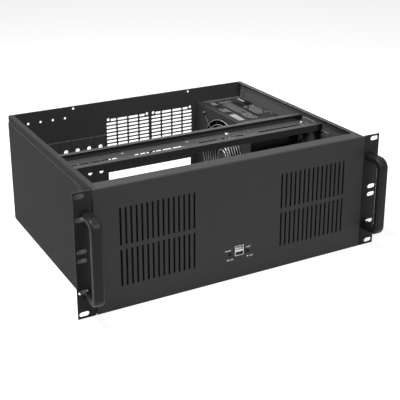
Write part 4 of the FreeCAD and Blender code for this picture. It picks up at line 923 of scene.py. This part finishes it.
def foam():
    """Open-celled black foam: deep round cells in a dull skin."""
    found = bpy.data.materials.get("Filter foam")
    if found:
        return found
    material, tree = blank_material("Filter foam")
    cells = put(tree, "ShaderNodeTexVoronoi", {"Vector": object_place(tree), "Scale": 900.0},
                feature="SMOOTH_F1").outputs["Distance"]
    colour = blend_colours(tree, spread(tree, cells, 0.1, 0.6), (0.0015, 0.0015, 0.0015, 1),
                           (0.006, 0.006, 0.006, 1))
    bump = source(tree, "ShaderNodeBump", {"Height": cells, "Distance": 0.0004})
    surface = source(tree, "ShaderNodeBsdfPrincipled", {
        "Base Color": colour, "Roughness": 0.95, "Specular IOR Level": 0.05,
        "Normal": bump})
    put(tree, "ShaderNodeOutputMaterial", {"Surface": surface})
    material.diffuse_color = (0.004, 0.004, 0.004, 1)
    return material


class CASE_OT_fit_shade_pads(bpy.types.Operator):
    """Lay a dark foam pad behind each field of vents and inside the supply's rear vents, as painted
    shade
    """
    bl_idname = "server_case.fit_filters"
    bl_label = "Fit shade pads"

    def execute(self, context):
        low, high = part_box("front_panel")
        middle = (low[2] + high[2]) / 2
        face = low[1] + 1.55 * MM  # just behind the panel's sheet
        for side, label in ((-1, "left"), (1, "right")):
            # Each pad is a dark sheet that stands in for the shade behind the vents.
            def pad(bm):
                ends = sorted((side * 64 * MM, side * 184 * MM))
                add_block(bm, (ends[0], face, middle - 60 * MM),
                          (ends[1], face + 4 * MM, middle + 60 * MM), 0.8 * MM)

            built_piece("vent_filter_" + label, pad, foam(), "case")

        low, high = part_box("psu_tray")

        # This pad keeps the supply's inside dark, as painted shade.
        def screen(bm):
            add_block(bm, (low[0] + 12 * MM, high[1] - 4 * MM, low[2] + 74 * MM),
                      (high[0] - 12 * MM, high[1] - 1 * MM, low[2] + 134 * MM), 0.6 * MM)

        built_piece("supply_filter", screen, foam(), "case")
        return {"FINISHED"}


LEGEND_SIZE = 1.4  # font size for one unit of capital height
LEGEND_HEIGHT = 2.0 * MM


def text_mesh(words, height, corner):
    """Flat lettering on the front panel: words drawn in the XZ plane from corner."""
    curve = bpy.data.curves.new("legend_" + words.lower(), "FONT")
    curve.body = words
    curve.size = height * LEGEND_SIZE
    curve.offset = 0.09 * MM
    curve.extrude = 0.03 * MM
    curve.resolution_u = 2
    holder = new_object(curve.name, curve)
    bpy.context.view_layer.update()
    graph = bpy.context.evaluated_depsgraph_get()
    mesh = bpy.data.meshes.new_from_object(holder.evaluated_get(graph))
    bpy.data.objects.remove(holder)
    mesh.transform(Matrix.Translation(corner) @ Matrix.Rotation(RIGHT_ANGLE, 4, "X"))
    return mesh


class CASE_OT_print_legends(bpy.types.Operator):
    """Print the plain words beside the front buttons and lamps"""
    bl_idname = "server_case.print_legends"
    bl_label = "Print legends"

    def execute(self, context):
        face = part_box("front_panel")[0][1] - 0.02 * MM
        ink = paper("Legend white", (0.85, 0.85, 0.85))
        joined = bmesh.new()
        for words, x, z in (("POWER", -21.8, 44.2), ("RESET", 12.5, 44.0),
                            ("PWR", -14.4, 29.6), ("HDD", 17.6, 29.6)):
            joined.from_mesh(text_mesh(words, LEGEND_HEIGHT, (x * MM, face, z * MM)))
        mesh_piece("front_legends", mesh_from(joined, "legends"), ink, "case")
        return {"FINISHED"}


HEADER_CENTRES = (-12 * MM, 12 * MM)
HEADER_PINS = 5
PIN_PITCH = 2.54 * MM
PIN_HALF = 0.32 * MM


class CASE_OT_fit_contacts(bpy.types.Operator):
    """Add the contact strips of the front sockets and the small parts of the front board"""
    bl_idname = "server_case.fit_contacts"
    bl_label = "Fit contacts"

    def execute(self, context):
        def contacts(bm):
            for low, high in loose_parts("usb_tongues"):
                pitch = (high.x - low.x) / 4
                for i in range(4):
                    x = low.x + (i + 0.5) * pitch
                    add_block(bm, (x - 0.5 * MM, low.y + 0.4 * MM, low.z - 0.1 * MM),
                              (x + 0.5 * MM, high.y, low.z + 0.02 * MM))

        built_piece("socket_contacts", contacts, gold(), "case")
        low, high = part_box("front_board")
        back = high[1]

        def header(bm):
            half = HEADER_PINS * 1.27 * MM
            for centre in HEADER_CENTRES:
                add_block(bm, (centre - half, back, low[2] + 3 * MM),
                          (centre + half, back + 2.5 * MM, low[2] + 8.2 * MM), 0.2 * MM)

        built_piece("board_headers", header,
                    plastic("Header plastic", (0.015, 0.015, 0.015), 0.5), "case")

        def pins(bm):
            for centre in HEADER_CENTRES:
                for i in range(HEADER_PINS):
                    for row in range(2):
                        x = centre + (i - 2) * PIN_PITCH
                        z = low[2] + 4.3 * MM + row * PIN_PITCH
                        add_block(bm, (x - PIN_HALF, back + 2.4 * MM, z - PIN_HALF),
                                  (x + PIN_HALF, back + 8 * MM, z + PIN_HALF), 0.1 * MM)

        built_piece("board_pins", pins, gold(), "case")
        return {"FINISHED"}


# ------------------------------------------------------------------ stage

FLOOR_HALF = 6.0
FLOOR_TOP = -0.2 * MM
FLOOR_MOTTLE = 0.99
FLOOR_GLOW = 0.77
CASE_MIDDLE = (0, 0, 0.1)


def area_lamp(name, place, target, side, power):
    """A square lamp at place that faces target."""
    lamp = bpy.data.lights.new(name, "AREA")
    lamp.shape = "RECTANGLE"
    lamp.size = lamp.size_y = side
    lamp.energy = power
    holder = new_object(name, lamp)
    holder.location = place
    holder.rotation_euler = (Vector(target) - Vector(place)).to_track_quat("-Z", "Y").to_euler()
    return holder


def seen_directly(tree):
    """A mask that is 1 for camera, mirror-like and transmitted rays."""
    path = put(tree, "ShaderNodeLightPath")
    first = maths(tree, "ADD", path.outputs["Is Camera Ray"], path.outputs["Is Transmission Ray"])
    return maths(tree, "ADD", first, path.outputs["Is Glossy Ray"], clamp=True)


def floor_material(colour):
    """Matt floor that takes the shadow, with a glow that only direct rays see."""
    material, tree = blank_material("Pale floor")
    cloud = noise(tree, object_place(tree), 40.0, 2.0)
    tint = blend_colours(tree, spread(tree, cloud, 0.3, 0.7),
                         tuple(shade(colour, FLOOR_MOTTLE)) + (1,), tuple(colour) + (1,))
    matt = source(tree, "ShaderNodeBsdfDiffuse", {"Color": tint})
    glow = source(tree, "ShaderNodeEmission", {"Color": (1, 1, 1, 1), "Strength": FLOOR_GLOW})
    lit = source(tree, "ShaderNodeAddShader", {0: matt, 1: glow})
    mixed = source(tree, "ShaderNodeMixShader", {0: seen_directly(tree), 1: matt,
                                                 2: lit})
    put(tree, "ShaderNodeOutputMaterial", {"Surface": mixed})
    return material


class CASE_OT_set_stage(bpy.types.Operator):
    """Lay the pale floor and set the soft lamps, room light and camera"""
    bl_idname = "server_case.set_stage"
    bl_label = "Set stage"

    def execute(self, context):
        scene = context.scene
        stage = scene.case_stage
        bm = bmesh.new()
        bm.faces.new([bm.verts.new((x * FLOOR_HALF, y * FLOOR_HALF, FLOOR_TOP))
                      for x, y in ((-1, -1), (1, -1), (1, 1), (-1, 1))])
        mesh = mesh_from(bm, "floor")
        mesh.materials.append(floor_material(stage.floor_colour))
        floor = new_object("floor", mesh)
        area_lamp("overhead_lamp", (-0.5, -0.05, 1.3), CASE_MIDDLE, 0.35, stage.key_power)
        area_lamp("side_lamp", (-1.8, 0.0, 1.5), CASE_MIDDLE, 1.0, stage.side_power)
        area_lamp("front_lamp", (0.3, -1.6, 1.4), CASE_MIDDLE, 0.5, stage.front_power)
        fill = area_lamp("fill_lamp", (-0.21, 0.13, 0.5), (0.215, 0.08, 0.13), 0.2,
                         stage.fill_power)
        fill.data.spread = math.radians(60)
        fill.visible_camera = False

        world = bpy.data.worlds.new("Room")
        scene.world = world
        world.use_nodes = True
        tree = world.node_tree
        tree.nodes.clear()
        even = source(tree, "ShaderNodeBackground", {"Color": (1, 1, 1, 1), "Strength": stage.sky})
        white = source(tree, "ShaderNodeBackground", {"Color": (1, 1, 1, 1), "Strength": 1.0})
        mixed = source(tree, "ShaderNodeMixShader", {0: seen_directly(tree), 1: even,
                                                     2: white})
        put(tree, "ShaderNodeOutputWorld", {"Surface": mixed})

        camera = bpy.data.cameras.new("camera")
        camera.lens = stage.camera_lens
        camera.sensor_width = 36.0
        camera.shift_y = -0.15
        camera.clip_end = 50.0
        holder = new_object("camera", camera)
        holder.location = stage.camera_place
        holder.rotation_euler = (RIGHT_ANGLE - stage.camera_pitch, 0, -stage.camera_yaw)
        scene.camera = holder
        scene.view_settings.view_transform = "Standard"
        return {"FINISHED"}


# ------------------------------------------------------------------ panel and registration

OPERATORS = (
    CASE_OT_paint_body,
    CASE_OT_paint_front,
    CASE_OT_finish_supply,
    CASE_OT_finish_sockets,
    CASE_OT_fit_screws,
    CASE_OT_fit_guard,
    CASE_OT_fit_contacts,
    CASE_OT_fit_shade_pads,
    CASE_OT_stick_labels,
    CASE_OT_print_legends,
    CASE_OT_set_stage,
)


class CASE_PT_panel(bpy.types.Panel):
    """Steps that dress the server case"""
    bl_idname = "CASE_PT_panel"
    bl_label = "Server Case"
    bl_space_type = "VIEW_3D"
    bl_region_type = "UI"
    bl_category = "Server Case"

    def draw(self, context):
        for operator in OPERATORS:
            self.layout.operator(operator.bl_idname)
        for name, group in SETTINGS:
            box = self.layout.box()
            for key in group.__annotations__:
                box.prop(getattr(context.scene, name), key)


def register():
    for name, group in SETTINGS:
        bpy.utils.register_class(group)
        setattr(bpy.types.Scene, name, bpy.props.PointerProperty(type=group))
    for operator in OPERATORS:
        bpy.utils.register_class(operator)
    bpy.utils.register_class(CASE_PT_panel)


def unregister():
    bpy.utils.unregister_class(CASE_PT_panel)
    for operator in reversed(OPERATORS):
        bpy.utils.unregister_class(operator)
    for name, group in reversed(SETTINGS):
        delattr(bpy.types.Scene, name)
        bpy.utils.unregister_class(group)


def main():
    register()
    for operator in OPERATORS:
        prefix, call = operator.bl_idname.split(".")
        getattr(getattr(bpy.ops, prefix), call)()


if __name__ == "__main__":
    main()
